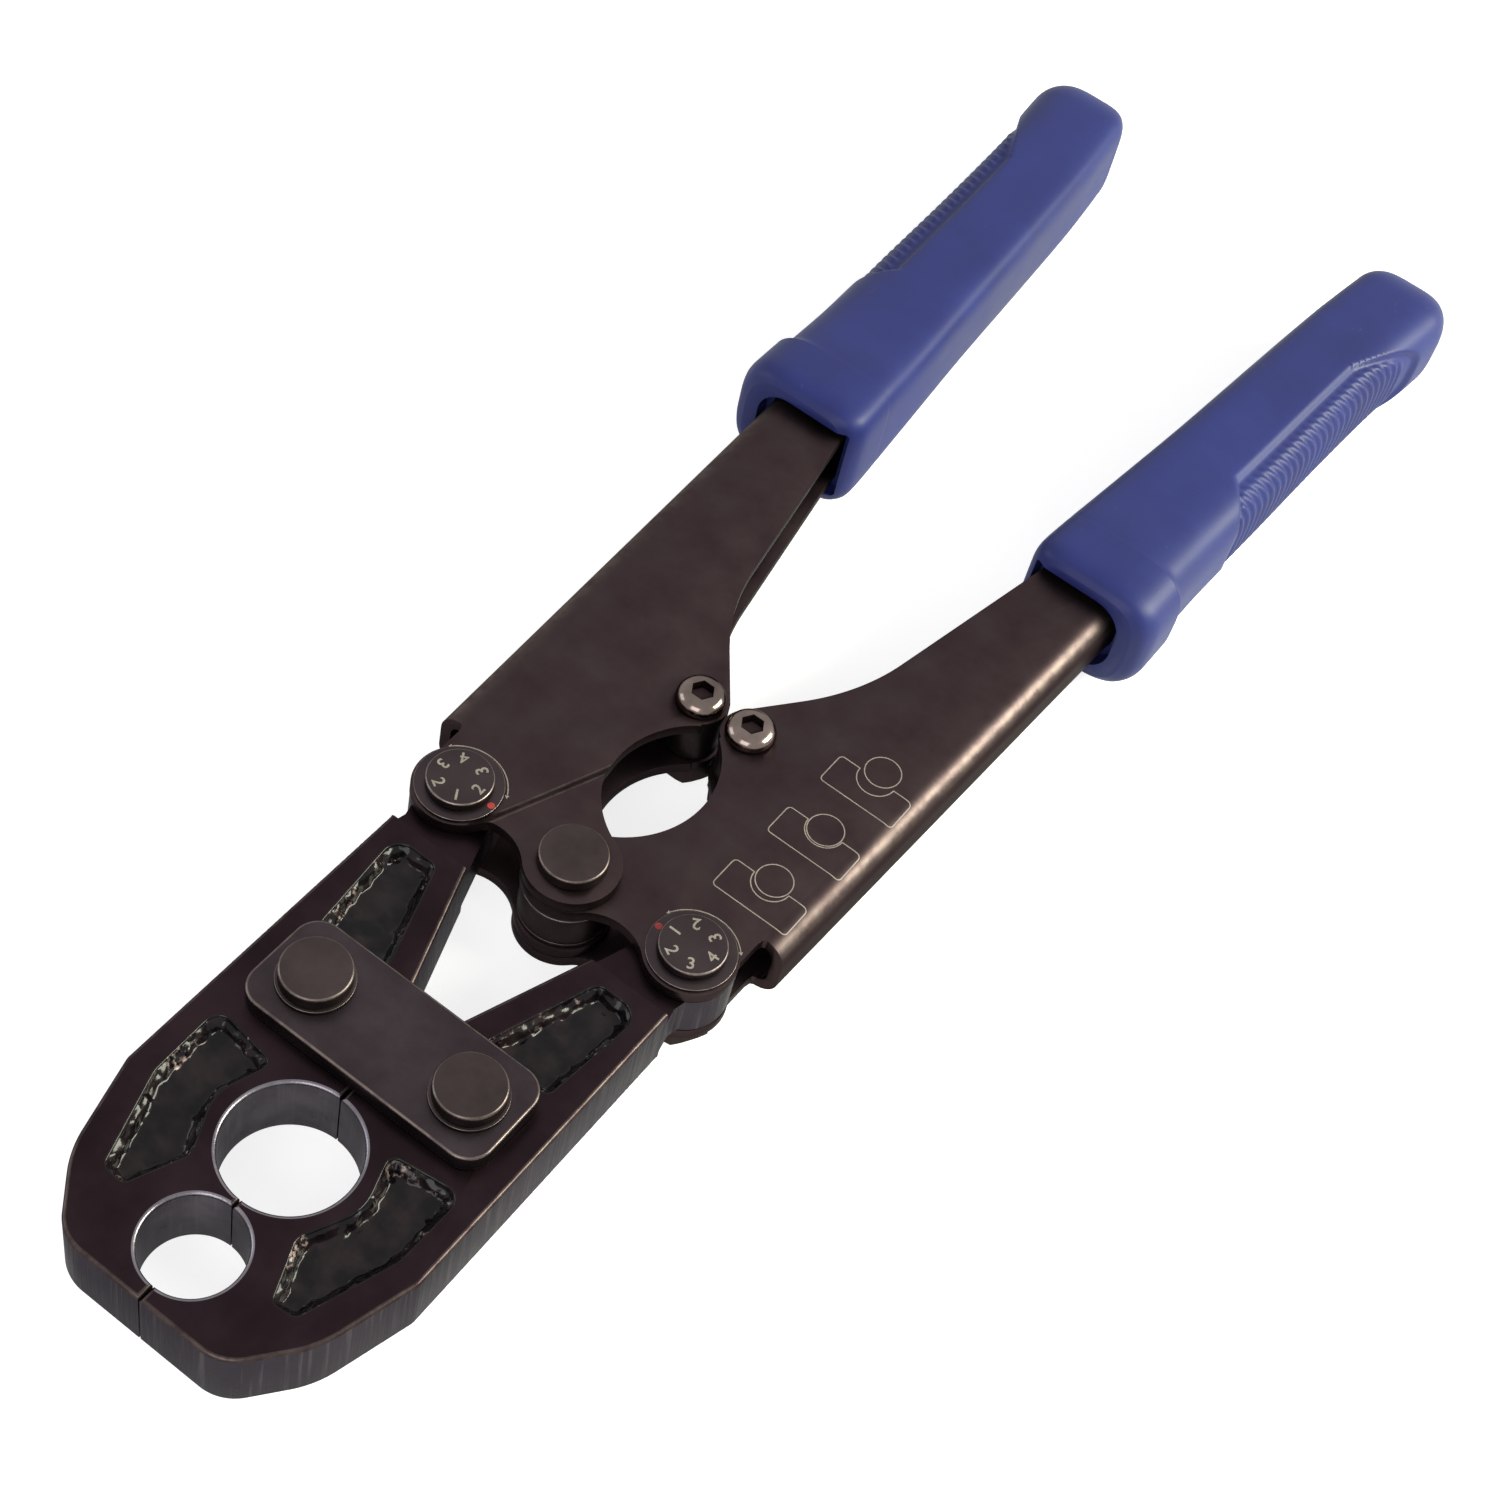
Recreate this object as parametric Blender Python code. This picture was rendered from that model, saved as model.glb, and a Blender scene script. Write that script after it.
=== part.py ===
"""Crimp ring tool for two sizes of tube: closed compound-lever jaws, channel handles and moulded grips.

Plan sizes are in millimetres from the centre pivot: x to the side, y towards the hands, z from the
middle plane of the tool. The model itself is in metres, with +Z up and its origin under its middle.
"""

from math import acos, atan2, cos, degrees, hypot, pi, radians, sin, sqrt, tan

import bmesh
import bpy
from mathutils import Matrix, Vector

mm = 0.001
gap = 0.3
# How far a cutter runs out past what it cuts
over = 2.0
smoothAngle = radians(35)

# Facets of full circles
pinSteps = 32
boreSteps = 28
ringSteps = 26
nutSteps = 24
smallBoreSteps = 20

# Jaws
jawThickness = 15.0
jawHalfWidth = 31.6
noseAhead = 109.5
noseLength = 30.3
noseShoulderInset = 5.0
noseShoulderBack = 12.0
noseFlatHalf = 17.0
noseRounding = (9.0, 20.0, 4.0)
jawChamfer = 0.7
smallDieRadius = 8.95
smallDieFromNose = 12.3
largeDieRadius = 12.1
dieSpacing = 23.0
seamBehindLargeDie = 21.9
armSlope = radians(19.2)
tailStep = 12.3
tailRadius = 8.8
# The step down to the tail: in from the side and back, the boss's arc, and where the arm leaves it
tailShoulder = (0.7, 3.2)
tailArc = (-58.0, 188.0)  # degrees
armRunOut = 1.5
pocketDepth = 2.6
pocketDraft = 1.1
pocketMouth = 1.0  # how far a pocket's cutter stands out of the face
# Corners as x, distance and rounding: the arm's from the pivot, the cheek's from the nose
armPocket = [(10.9, 38.5, 1.5), (25.4, 38.5, 1.5), (27.6, 15.6, 3.4), (18.6, 15.6, 2.0)]
cheekPocket = [
    (13.2, 44.9, 1.5), (16.6, 34.5, 9.0), (11.6, 23.9, 3.0), (16.0, 13.3, 1.5), (20.3, 13.5, 2.0),
    (26.3, 31.5, 6.0), (26.6, 46.9, 2.5),
]

# Link plates and their pins
linkPinOffset = 16.9
linkPinAhead = 49.5
linkPinRadius = 4.5
linkHeadRadius = 6.5
linkHeadHeight = 2.8
linkWasherRadius = 7.0
linkWasherThickness = 0.5
linkRingHeight = 2.4
ringChamfer = 0.5
pinTipChamfer = 0.5
pinHeadChamferShare = 0.28
linkPinStub = 0.5
linkPlateReach = 9.3
linkPlateWidth = 21.0
linkPlateBack = 0.2
linkPlateThickness = 3.8
linkPlateCorner = 5.0
linkPlateChamfer = 0.4

# Handles, folded from sheet
sheet = 2.5
handleHeight = 15.0
bendRadius = 5.0
webStart = 12.0
# How far ahead of the web's start the fold's rounding begins, and the slope of the space inside it
foldRunOut = 1.5
hollowRunOut = 5.0
# The notch where the fold starts: aside and ahead of that corner
foldNotch = [(-0.3, 1.6), (0.0, 0.3), (0.6, 0.0)]
webOffset = 40.0
gripMouthWebOffset = 44.0
handleEndWebOffset = 48.6
handleEnd = 222.0
innerEdgeAtGrip = 26.6
innerEdgeAtEnd = 32.0
gripMouth = 130.0
innerEdgeBend = (15.9, 70.5)
innerEdgeBendRadius = 50.0
frontFilletRadius = 9.8
windowRadius = 20.2
windowCentre = (-10.9, 27.2)
windowTrim = 1.0  # degrees left out at both ends of the window's arc
joggleAngle = radians(20.9)
joggleDistance = 15.4
joggleRun = 3.2

# Centre pivot
pivotLobeRadius = 9.1
pivotPinRadius = 4.6
pivotHeadRadius = 6.5
pivotHeadHeight = 2.6
pivotSpacerRadius = 8.7
pivotWasherThickness = 0.8
pivotRingHeight = 2.4
pivotPinStub = 0.5

# Eccentric dial pins between the handles and the jaw tails
dialOffset = 26.75
dialBehind = 0.8
dialLobeRadius = 8.9
dialLobeEnd = 28.0  # degrees
dialHeadRadius = 6.4
dialHeadHeight = 1.8
dialHeadChamferShare = 0.3
dialWasherRadius = 8.4
dialWasherThickness = 0.4
dialJournalRadius = 4.4
dialCamRadius = 3.6
dialCamThrow = 0.5
dialThreadRadius = 3.9
dialStub = 0.8
dialTipChamfer = 0.4
lockWasherRadius = 7.0
lockWasherThickness = 0.8
lockNutAcrossFlats = 13.0
lockNutHeight = 4.2
lockNutChamfer = 0.5

# Stops behind the pivot
stopOffset = 5.9
stopBehind = 47.5
stopTabRadius = 5.75
stopHeadRadius = 5.0
stopHeadHeight = 2.8
stopHeadRim = 0.35
# The button head's dome: how much of a quarter turn it covers, and how fast it narrows
stopDomeShare = 0.86
stopDomeNarrowing = 0.72
stopScrewRadius = 3.0
stopScrewStub = 0.6
stopSocketAcrossFlats = 4.0
stopSocketDepth = 1.7
stopSpacerRadius = 5.2
stopNutAcrossFlats = 10.0
stopNutHeight = 4.4
stopNutChamfer = 0.4

# Grips
gripStart = 122.5
gripLength = 141.0
gripWall = 0.3
gripMouthDepth = 4.0
gripMouthRoom = 1.8
gripFullness = 3.2
# The rounded end: where its sections stand along it, its smallest width and how flat it stays, as
# shares, and its lean
gripEndStations = (0.3, 0.55, 0.78, 0.93, 1.0)
gripEndTip = 0.22
gripEndFlatness = 0.35
gripEndLean = 0.05
panelStart = 163.0
panelEnd = 244.0
panelFrontSlant = 8.0
panelRearSlant = 22.0
panelWrap = radians(76.0)
panelDepth = 1.1
panelRamp = 2.5
# Each row: distance from the mouth, inner face, outer face, half height
gripSections = [
    (0.0, 25.4, 48.6, 11.2),
    (1.6, 23.0, 51.0, 12.8),
    (5.0, 21.6, 52.4, 13.5),
    (14.0, 22.2, 52.4, 13.4),
    (16.0, 22.4, 50.8, 13.0),
    (30.0, 23.6, 50.9, 12.3),
    (56.0, 26.0, 52.0, 11.9),
    (84.0, 28.2, 53.0, 11.8),
    (110.0, 30.4, 54.4, 11.9),
    (122.0, 31.8, 55.8, 12.0),
    (128.0, 32.6, 56.4, 12.0),
]

# Travel
handleSwing = radians(60.0)

# Places ahead of the pivot
smallDieAhead = noseAhead - smallDieFromNose
largeDieAhead = smallDieAhead - dieSpacing
seamEnd = largeDieAhead - seamBehindLargeDie

# Levels above the middle plane
jawTop = jawThickness / 2
handleTop = handleHeight / 2
handleInside = handleTop - sheet
tailTop = handleInside - gap
linkPlateBase = jawTop + gap
linkPlateTop = linkPlateBase + linkPlateThickness
linkHeadBase = linkPlateTop + gap + linkWasherThickness + gap
linkRingBase = linkPlateTop + gap
linkPinEnd = linkRingBase + linkRingHeight + linkPinStub
joggleRise = sheet + gap
joggledTop = handleTop + joggleRise
middle = linkPinEnd
toolEnd = gripStart + gripLength
originShift = (toolEnd - noseAhead) / 2

pivot = (0.0, 0.0)
linkPin = (linkPinOffset, -linkPinAhead)
dialPin = (dialOffset, dialBehind)
stopScrew = (stopOffset, stopBehind)


# Outlines

def arc(centre, radius, start, end, steps):
    """Points of an arc, with its angles in degrees."""
    points = []
    for i in range(steps + 1):
        a = radians(start + (end - start) * i / steps)
        points.append((centre[0] + radius * cos(a), centre[1] + radius * sin(a)))
    return points


def circle(centre, radius, steps):
    return arc(centre, radius, 0, 360, steps)[:-1]


def roundedCorner(before, corner, after, radius, steps):
    """The arc that rounds the corner between its two neighbours."""
    here = Vector(corner)
    back = (Vector(before) - here).normalized()
    onward = (Vector(after) - here).normalized()
    half = back.angle(onward) / 2
    centre = here + (back + onward).normalized() * radius / sin(half)
    first = here + back * radius / tan(half) - centre
    turn = first.angle_signed(here + onward * radius / tan(half) - centre)
    points = []
    for k in range(steps + 1):
        x, y = turned(first, -turn * k / steps)
        points.append((centre.x + x, centre.y + y))
    return points


def roundedPolygon(corners, steps=4):
    """Corners are (x, y, radius), counter-clockwise."""
    points = []
    for i, (x, y, radius) in enumerate(corners):
        onward = corners[(i + 1) % len(corners)]
        points += roundedCorner(corners[i - 1][:2], (x, y), onward[:2], radius, steps)
    return points


def hexagon(centre, acrossFlats):
    return circle(centre, acrossFlats / 2 / cos(pi / 6), 6)


def hull(points):
    """Convex hull, counter-clockwise."""
    points = sorted(set(points))

    def half(run):
        chain = []
        for p in run:
            while len(chain) > 1:
                a, b = chain[-2], chain[-1]
                if (b[0] - a[0]) * (p[1] - a[1]) - (b[1] - a[1]) * (p[0] - a[0]) > 1e-6:
                    break
                chain.pop()
            chain.append(p)
        return chain[:-1]

    return half(points) + half(points[::-1])


def inset(points, distance):
    """The outline moved inwards at each corner, for a chamfer."""
    moved = []
    count = len(points)
    steepest = 0.35
    for i, p in enumerate(points):
        here = Vector(p)
        along = (here - Vector(points[i - 1])).normalized()
        onward = (Vector(points[(i + 1) % count]) - here).normalized()
        sideA = Vector((-along.y, along.x))
        sideB = Vector((-onward.y, onward.x))
        side = (sideA + sideB).normalized()
        reach = distance / max(steepest, side.dot(sideA))
        moved.append((here.x + side.x * reach, here.y + side.y * reach))
    return moved


# Linkage

def turned(vector, angle):
    return (
        vector[0] * cos(angle) - vector[1] * sin(angle),
        vector[0] * sin(angle) + vector[1] * cos(angle),
    )


def linkageAt(swing):
    """Jaw turn and forward travel of the pivot for one handle swing, from the linkage itself."""
    armLength = hypot(*dialPin)
    restAngle = atan2(dialPin[1], dialPin[0])
    tail = (dialPin[0] - linkPin[0], dialPin[1] - linkPin[1])
    tailLength = hypot(*tail)
    tailLean = atan2(tail[0], tail[1])
    across = armLength * cos(restAngle - swing)
    jawTurn = tailLean - (pi / 2 - acos((across - linkPin[0]) / tailLength))
    pinAhead = linkPin[1] + turned(tail, jawTurn)[1]
    return jawTurn, pinAhead - armLength * sin(restAngle - swing)


def pinDrift(share):
    """Where the dial pin stands from the middle of the tail's bore, in the jaw's own frame."""
    fullTurn, fullTravel = linkageAt(handleSwing)
    held = turned(dialPin, -handleSwing * share)
    held = (held[0] - linkPin[0], held[1] + fullTravel * share - linkPin[1])
    inJaw = turned(held, -fullTurn * share)
    return (inJaw[0] + linkPin[0], inJaw[1] + linkPin[1])


# Meshes

def clearScene():
    for obj in list(bpy.data.objects):
        bpy.data.objects.remove(obj, do_unlink=True)


def makeMaterial(name, colour, roughness, metallic):
    material = bpy.data.materials.new(name)
    material.use_nodes = True
    shader = material.node_tree.nodes["Principled BSDF"]
    shader.inputs["Base Color"].default_value = (*colour, 1.0)
    shader.inputs["Roughness"].default_value = roughness
    shader.inputs["Metallic"].default_value = metallic
    material.diffuse_color = (*colour, 1.0)
    return material


def makeObject(name, shape, origin, material, turn=None):
    """An object from a bmesh in tool millimetres, with its own origin on its axis in plan."""
    if turn is not None:
        shape.transform(turn)
    shape.normal_update()
    bmesh.ops.recalc_face_normals(shape, faces=shape.faces)
    shape.transform(Matrix.Translation((-origin[0], -origin[1], 0.0)))
    shape.transform(Matrix.Scale(mm, 4))
    mesh = bpy.data.meshes.new(name)
    shape.to_mesh(mesh)
    shape.free()
    mesh.shade_smooth()
    mesh.set_sharp_from_angle(angle=smoothAngle)
    obj = bpy.data.objects.new(name, mesh)
    obj.location = (origin[0] * mm, (origin[1] - originShift) * mm, middle * mm)
    if material is not None:
        mesh.materials.append(material)
    bpy.context.scene.collection.objects.link(obj)
    return obj


def layered(layers):
    """A closed bmesh through layers of equal point counts, each a list of (x, y, z)."""
    shape = bmesh.new()
    rings = [[shape.verts.new(p) for p in layer] for layer in layers]
    count = len(rings[0])
    for low, high in zip(rings, rings[1:]):
        for i in range(count):
            j = (i + 1) % count
            shape.faces.new((low[i], low[j], high[j], high[i]))
    shape.faces.new(rings[0][::-1])
    shape.faces.new(rings[-1])
    return shape


def prism(outline, low, high, chamfer=0.0):
    flat = [(outline, low), (outline, high)]
    if chamfer:
        small = inset(outline, chamfer)
        flat = [(small, low), (outline, low + chamfer), (outline, high - chamfer), (small, high)]
    return layered([[(x, y, z) for x, y in points] for points, z in flat])


def stackedRings(centre, rings, steps):
    """A turned solid from (z, radius, throw) rings, lowest first; throw sets a ring off the axis."""
    layers = []
    for z, radius, throw in rings:
        layers.append([(x, y, z) for x, y in circle((centre[0] + throw, centre[1]), radius, steps)])
    return layered(layers)


def sleeve(centre, bore, profile, steps):
    """A turned ring from an outer (z, radius) profile, lowest first, with a plain bore."""
    loop = [(profile[0][0], bore)] + list(profile) + [(profile[-1][0], bore)]
    shape = bmesh.new()
    rings = []
    for z, radius in loop:
        rings.append([shape.verts.new((x, y, z)) for x, y in circle(centre, radius, steps)])
    for k, low in enumerate(rings):
        high = rings[(k + 1) % len(rings)]
        for i in range(steps):
            j = (i + 1) % steps
            shape.faces.new((low[i], low[j], high[j], high[i]))
    return shape


def joined(shapes):
    """Several bmeshes as one, for a cutter of separate closed bodies."""
    whole = shapes[0]
    for other in shapes[1:]:
        mesh = bpy.data.meshes.new("spare")
        other.to_mesh(mesh)
        other.free()
        whole.from_mesh(mesh)
        bpy.data.meshes.remove(mesh)
    return whole


def cut(obj, shapes, turn=None):
    """Cuts closed bodies out of an object, by a hidden cutter."""
    cutter = makeObject(obj.name + "_cutter", joined(shapes), pivot, None, turn)
    cutter.hide_render = True
    cutter.display_type = "WIRE"
    modifier = obj.modifiers.new("Cut", "BOOLEAN")
    modifier.operation = "DIFFERENCE"
    modifier.solver = "EXACT"
    modifier.object = cutter


mirrorX = Matrix.Scale(-1, 4, Vector((1, 0, 0)))
halfTurn = Matrix.Rotation(pi, 4, "Y")


def sided(point, side):
    return (point[0] * side, point[1])


# Jaws

def jawOutline():
    """One jaw in plan on the +x side, counter-clockwise from the nose."""
    seam = gap / 2
    tip = (seam, -noseAhead)
    flatEnd = (noseFlatHalf, -noseAhead)
    shoulder = (jawHalfWidth - noseShoulderInset, noseShoulderBack - noseAhead)
    hip = (jawHalfWidth, noseLength - noseAhead)
    sideEnd = (jawHalfWidth, -tailStep)
    nose = [tip] + roundedCorner(tip, flatEnd, shoulder, noseRounding[0], steps=4)
    nose += roundedCorner(flatEnd, shoulder, hip, noseRounding[1], steps=3)
    nose += roundedCorner(shoulder, hip, sideEnd, noseRounding[2], steps=2)
    armFoot = (seam, -seamEnd)

    def onArm(y):
        return (seam + (y + seamEnd) * tan(armSlope), y)

    boss = arc(dialPin, tailRadius, *tailArc, steps=16)
    largeLean = degrees(acos(seam / largeDieRadius))
    smallLean = degrees(acos(seam / smallDieRadius))
    return (
        nose
        + [sideEnd, (jawHalfWidth - tailShoulder[0], -tailStep + tailShoulder[1])]
        + boss
        + [onArm(-tailStep - armRunOut), armFoot]
        + arc((0, -largeDieAhead), largeDieRadius, largeLean, -largeLean, steps=22)
        + arc((0, -smallDieAhead), smallDieRadius, smallLean, -smallLean, steps=18)
    )


def pocketCutter(outline, face):
    """A drafted hollow cut into the face at height +jawTop or -jawTop."""
    wide = inset(outline, -pocketDraft * pocketMouth / pocketDepth)
    floor = inset(outline, pocketDraft)
    low = [(x, y, face * (jawTop - pocketDepth)) for x, y in floor]
    high = [(x, y, face * (jawTop + pocketMouth)) for x, y in wide]
    return layered([low, high] if face > 0 else [high, low])


def driftSlot():
    """The tail's bore, widened along the path that the dial pin takes in it."""
    room = dialCamRadius + dialCamThrow + gap
    points = []
    places = 8
    for i in range(places + 1):
        points += circle(pinDrift(i / places), room, smallBoreSteps)
    return hull([(round(x, 5), round(y, 5)) for x, y in points])


def buildJaw(name, side, material):
    place = None if side > 0 else mirrorX
    jaw = makeObject(
        name,
        prism(jawOutline(), -jawTop, jawTop, jawChamfer),
        sided(linkPin, side),
        material,
        place,
    )
    wide = dialOffset + tailRadius + over
    rear = dialBehind + tailRadius + over
    slab = [(-over, -tailStep), (wide, -tailStep), (wide, rear), (-over, rear)]
    cut(jaw, [prism(slab, tailTop, jawTop + over), prism(slab, -jawTop - over, -tailTop)], place)
    outlines = [
        roundedPolygon([(x, -ahead, radius) for x, ahead, radius in armPocket]),
        roundedPolygon([(x, back - noseAhead, radius) for x, back, radius in cheekPocket]),
    ]
    hollows = [pocketCutter(outline, face) for outline in outlines for face in (1, -1)]
    cut(jaw, hollows, place)
    holes = [
        prism(circle(linkPin, linkPinRadius + gap, boreSteps), -jawTop - over, jawTop + over),
        prism(driftSlot(), -tailTop - over, tailTop + over),
    ]
    cut(jaw, holes, place)


# Link plates and pins

def buildLinkPlate(name, level, material):
    long = linkPinOffset + linkPlateReach
    front = -linkPinAhead - linkPlateWidth / 2 + linkPlateBack
    rear = front + linkPlateWidth
    ends = [(-long, front), (long, front), (long, rear), (-long, rear)]
    corners = [(x, y, linkPlateCorner) for x, y in ends]
    low = min(level * linkPlateBase, level * linkPlateTop)
    shape = prism(roundedPolygon(corners, steps=6), low, low + linkPlateThickness, linkPlateChamfer)
    plate = makeObject(name, shape, (0, -linkPinAhead), material)
    holes = []
    for side in (1, -1):
        bore = circle(sided(linkPin, side), linkPinRadius + gap, boreSteps)
        holes.append(prism(bore, low - over, low + linkPlateThickness + over))
    cut(plate, holes)


def buildPin(name, centre, radius, headRadius, headBase, headHeight, end, material):
    """A headed pin, standing from its lower end to the chamfered top of its head."""
    chamfer = headHeight * pinHeadChamferShare
    rings = [
        (-end, radius - pinTipChamfer, 0),
        (-end + pinTipChamfer, radius, 0),
        (headBase, radius, 0),
        (headBase, headRadius, 0),
        (headBase + headHeight - chamfer, headRadius, 0),
        (headBase + headHeight, headRadius - chamfer, 0),
    ]
    return makeObject(name, stackedRings(centre, rings, pinSteps), centre, material)


def buildRing(name, centre, bore, radius, low, high, material, chamfer=0.0, steps=ringSteps):
    """A washer, ring or sleeve; a chamfer goes round its lower outer edge."""
    profile = [(low, radius), (high, radius)]
    if chamfer:
        profile = [(low, radius - chamfer), (low + chamfer, radius), (high, radius)]
    return makeObject(name, sleeve(centre, bore, profile, steps), centre, material)


def buildLinks(steel, pinSteel):
    buildLinkPlate("link_plate_top", 1, steel)
    buildLinkPlate("link_plate_bottom", -1, steel)
    for word, side in (("left", -1), ("right", 1)):
        centre = sided(linkPin, side)
        buildPin(
            "link_pin_" + word, centre, linkPinRadius, linkHeadRadius, linkHeadBase, linkHeadHeight,
            linkPinEnd, pinSteel
        )
        bore = linkPinRadius + gap
        washerLow = linkPlateTop + gap
        buildRing(
            "link_washer_" + word, centre, bore, linkWasherRadius, washerLow,
            washerLow + linkWasherThickness, pinSteel
        )
        buildRing(
            "link_ring_" + word, centre, bore, linkHeadRadius, -linkRingBase - linkRingHeight,
            -linkRingBase, pinSteel, ringChamfer
        )


# Handles

def webAt(y):
    """Outer face of the folded web in plan."""
    if y < gripMouth:
        share = (y - webStart) / (gripMouth - webStart)
        return webOffset + (gripMouthWebOffset - webOffset) * share
    share = (y - gripMouth) / (handleEnd - gripMouth)
    return gripMouthWebOffset + (handleEndWebOffset - gripMouthWebOffset) * share


def innerEdgeAt(y):
    """Straight inner edge in plan, before the grip and inside it."""
    if y < gripMouth:
        share = (y - innerEdgeBend[1]) / (gripMouth - innerEdgeBend[1])
        return innerEdgeBend[0] + (innerEdgeAtGrip - innerEdgeBend[0]) * share
    share = (y - gripMouth) / (handleEnd - gripMouth)
    return innerEdgeAtGrip + (innerEdgeAtEnd - innerEdgeAtGrip) * share


def innerEdgeCurve():
    """The sheet's inner edge from the grip to the stop tab, with its long bend rounded."""
    tab = Vector(stopScrew)
    bend = Vector(innerEdgeBend)
    start = (innerEdgeAtGrip, gripMouth)
    toBend = bend - tab
    lean = atan2(toBend.y, toBend.x) + acos(stopTabRadius / toBend.length)
    touch = tab + Vector((cos(lean), sin(lean))) * stopTabRadius
    return roundedCorner(start, bend, touch, innerEdgeBendRadius, steps=6), degrees(lean)


def plateOutline():
    """The handle's sheet in plan on the +x side, counter-clockwise from the pivot's lobe."""
    span = hypot(*dialPin)
    toPivot = pivotLobeRadius + frontFilletRadius
    toDial = dialLobeRadius + frontFilletRadius
    along = (span * span + toPivot * toPivot - toDial * toDial) / (2 * span)
    drop = sqrt(toPivot * toPivot - along * along)
    lean = atan2(dialPin[1], dialPin[0])
    fillet = (along * cos(lean) + drop * sin(lean), along * sin(lean) - drop * cos(lean))
    fromPivot = degrees(atan2(fillet[1], fillet[0]))
    fromDial = degrees(atan2(fillet[1] - dialPin[1], fillet[0] - dialPin[0]))
    fromWindow = degrees(atan2(windowCentre[1], windowCentre[0]))
    toTab = degrees(atan2(stopScrew[1] - windowCentre[1], stopScrew[0] - windowCentre[0]))
    curve, tabStart = innerEdgeCurve()
    topEdge = webAt(webStart) - bendRadius
    outline = arc(pivot, pivotLobeRadius, fromWindow, 360 + fromPivot, steps=18)
    outline += arc(fillet, frontFilletRadius, 180 + fromPivot, 180 + fromDial, steps=8)
    outline += arc(dialPin, dialLobeRadius, fromDial, dialLobeEnd, steps=14)
    outline += [(topEdge + aside, webStart - ahead) for aside, ahead in foldNotch]
    outline += [(webAt(y), y) for y in (webStart, gripMouth, handleEnd)]
    outline += [(innerEdgeAtEnd, handleEnd), (innerEdgeAtGrip, gripMouth)]
    outline += curve
    outline += arc(stopScrew, stopTabRadius, tabStart, 180 + toTab, steps=7)
    windowEnd = fromWindow - 180 + windowTrim
    outline += arc(windowCentre, windowRadius, toTab - windowTrim, windowEnd, steps=14)
    return outline


def bendCutter(face):
    """What the rounded fold leaves out of a square corner, along the whole web."""
    steps = 4
    layers = []
    for y in (webStart - foldRunOut, gripMouth, handleEnd + over):
        web = webAt(y)
        centre = (web - bendRadius, handleTop - bendRadius)
        ring = [(centre[0], handleTop + over), (web + over, handleTop + over), (web + over, centre[1])]
        ring += arc(centre, bendRadius, 0, 90, steps)
        layers.append([(x, y, face * z) for x, z in ring])
    return layered(layers)


def hollowShape():
    """The space inside the fold, running out past the sheet on its open side and at both ends."""
    innerRadius = bendRadius - sheet
    reach = pivotLobeRadius + over
    ends = [-reach, webStart - hollowRunOut, gripMouth, handleEnd + over]
    steps = 3
    levels = []
    for face in (-1, 1):
        for i in range(steps + 1):
            a = pi / 2 * (1 - i / steps)
            levels.append((face * (handleInside - innerRadius * (1 - cos(a))), innerRadius * (1 - sin(a))))
    layers = []
    for z, inwards in sorted(levels):
        edge = [(webAt(max(y, webStart)) - sheet - inwards, y, z) for y in ends]
        layers.append([(-reach, ends[0], z)] + edge + [(-reach, ends[-1], z)])
    return layered(layers)


def joggle(mesh, face):
    """Steps the sheet on one face outwards round the pivot, beyond a straight ramp."""
    shape = bmesh.new()
    shape.from_mesh(mesh)
    normal = Vector((cos(joggleAngle), sin(joggleAngle), 0))
    for distance in (joggleDistance + joggleRun / 2, joggleDistance - joggleRun / 2):
        bmesh.ops.bisect_plane(
            shape,
            geom=shape.verts[:] + shape.edges[:] + shape.faces[:],
            plane_co=normal * distance * mm,
            plane_no=normal,
            dist=1e-7,
        )
    for vert in shape.verts:
        past = joggleDistance + joggleRun / 2 - vert.co.dot(normal) / mm
        if vert.co.z * face > 0 and past > 0:
            vert.co.z += face * joggleRise * mm * min(1.0, past / joggleRun)
    bmesh.ops.triangulate(shape, faces=[f for f in shape.faces if len(f.verts) > 4])
    shape.to_mesh(mesh)
    shape.free()


def applied(obj):
    """Replaces an object's mesh by its evaluated one and drops its modifiers and cutters."""
    bpy.context.view_layer.update()
    graph = bpy.context.evaluated_depsgraph_get()
    mesh = bpy.data.meshes.new_from_object(obj.evaluated_get(graph))
    for modifier in list(obj.modifiers):
        cutter = modifier.object
        obj.modifiers.remove(modifier)
        bpy.data.objects.remove(cutter, do_unlink=True)
    obj.data = mesh


def buildHandles(steel):
    right = makeObject("handle_right", prism(plateOutline(), -handleTop, handleTop), pivot, steel)
    cut(right, [bendCutter(1), bendCutter(-1)])
    cut(right, [hollowShape()])
    holes = [
        circle(pivot, pivotPinRadius + gap, boreSteps),
        circle(dialPin, dialJournalRadius + gap, boreSteps),
        circle(stopScrew, stopScrewRadius + gap, smallBoreSteps),
    ]
    cut(right, [prism(hole, -handleTop - over, handleTop + over) for hole in holes])
    applied(right)
    joggle(right.data, -1)
    right.data.shade_smooth()
    right.data.set_sharp_from_angle(angle=smoothAngle)
    left = bpy.data.objects.new("handle_left", right.data.copy())
    left.data.transform(halfTurn)
    left.location = right.location
    bpy.context.scene.collection.objects.link(left)


# Grips

def between(rows, at):
    for low, high in zip(rows, rows[1:]):
        if at <= high[0]:
            share = (at - low[0]) / (high[0] - low[0])
            return [a + (b - a) * share for a, b in zip(low[1:], high[1:])]
    return list(rows[-1][1:])


def panelSink(y, bearing):
    """How deep the panel's floor lies below the grip's skin; it reaches onto both broad faces."""
    share = abs(bearing) / panelWrap
    if share > 1:
        return 0.0
    front = panelStart + panelFrontSlant * share * share
    rear = panelEnd - panelRearSlant * share * share
    return panelDepth * max(0.0, min(1.0, (y - front) / panelRamp, (rear - y) / panelRamp))


def fuller(share, power):
    """A share of a half width raised to a power, with its sign kept."""
    return abs(share) ** power * (1 if share > 0 else -1)


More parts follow.
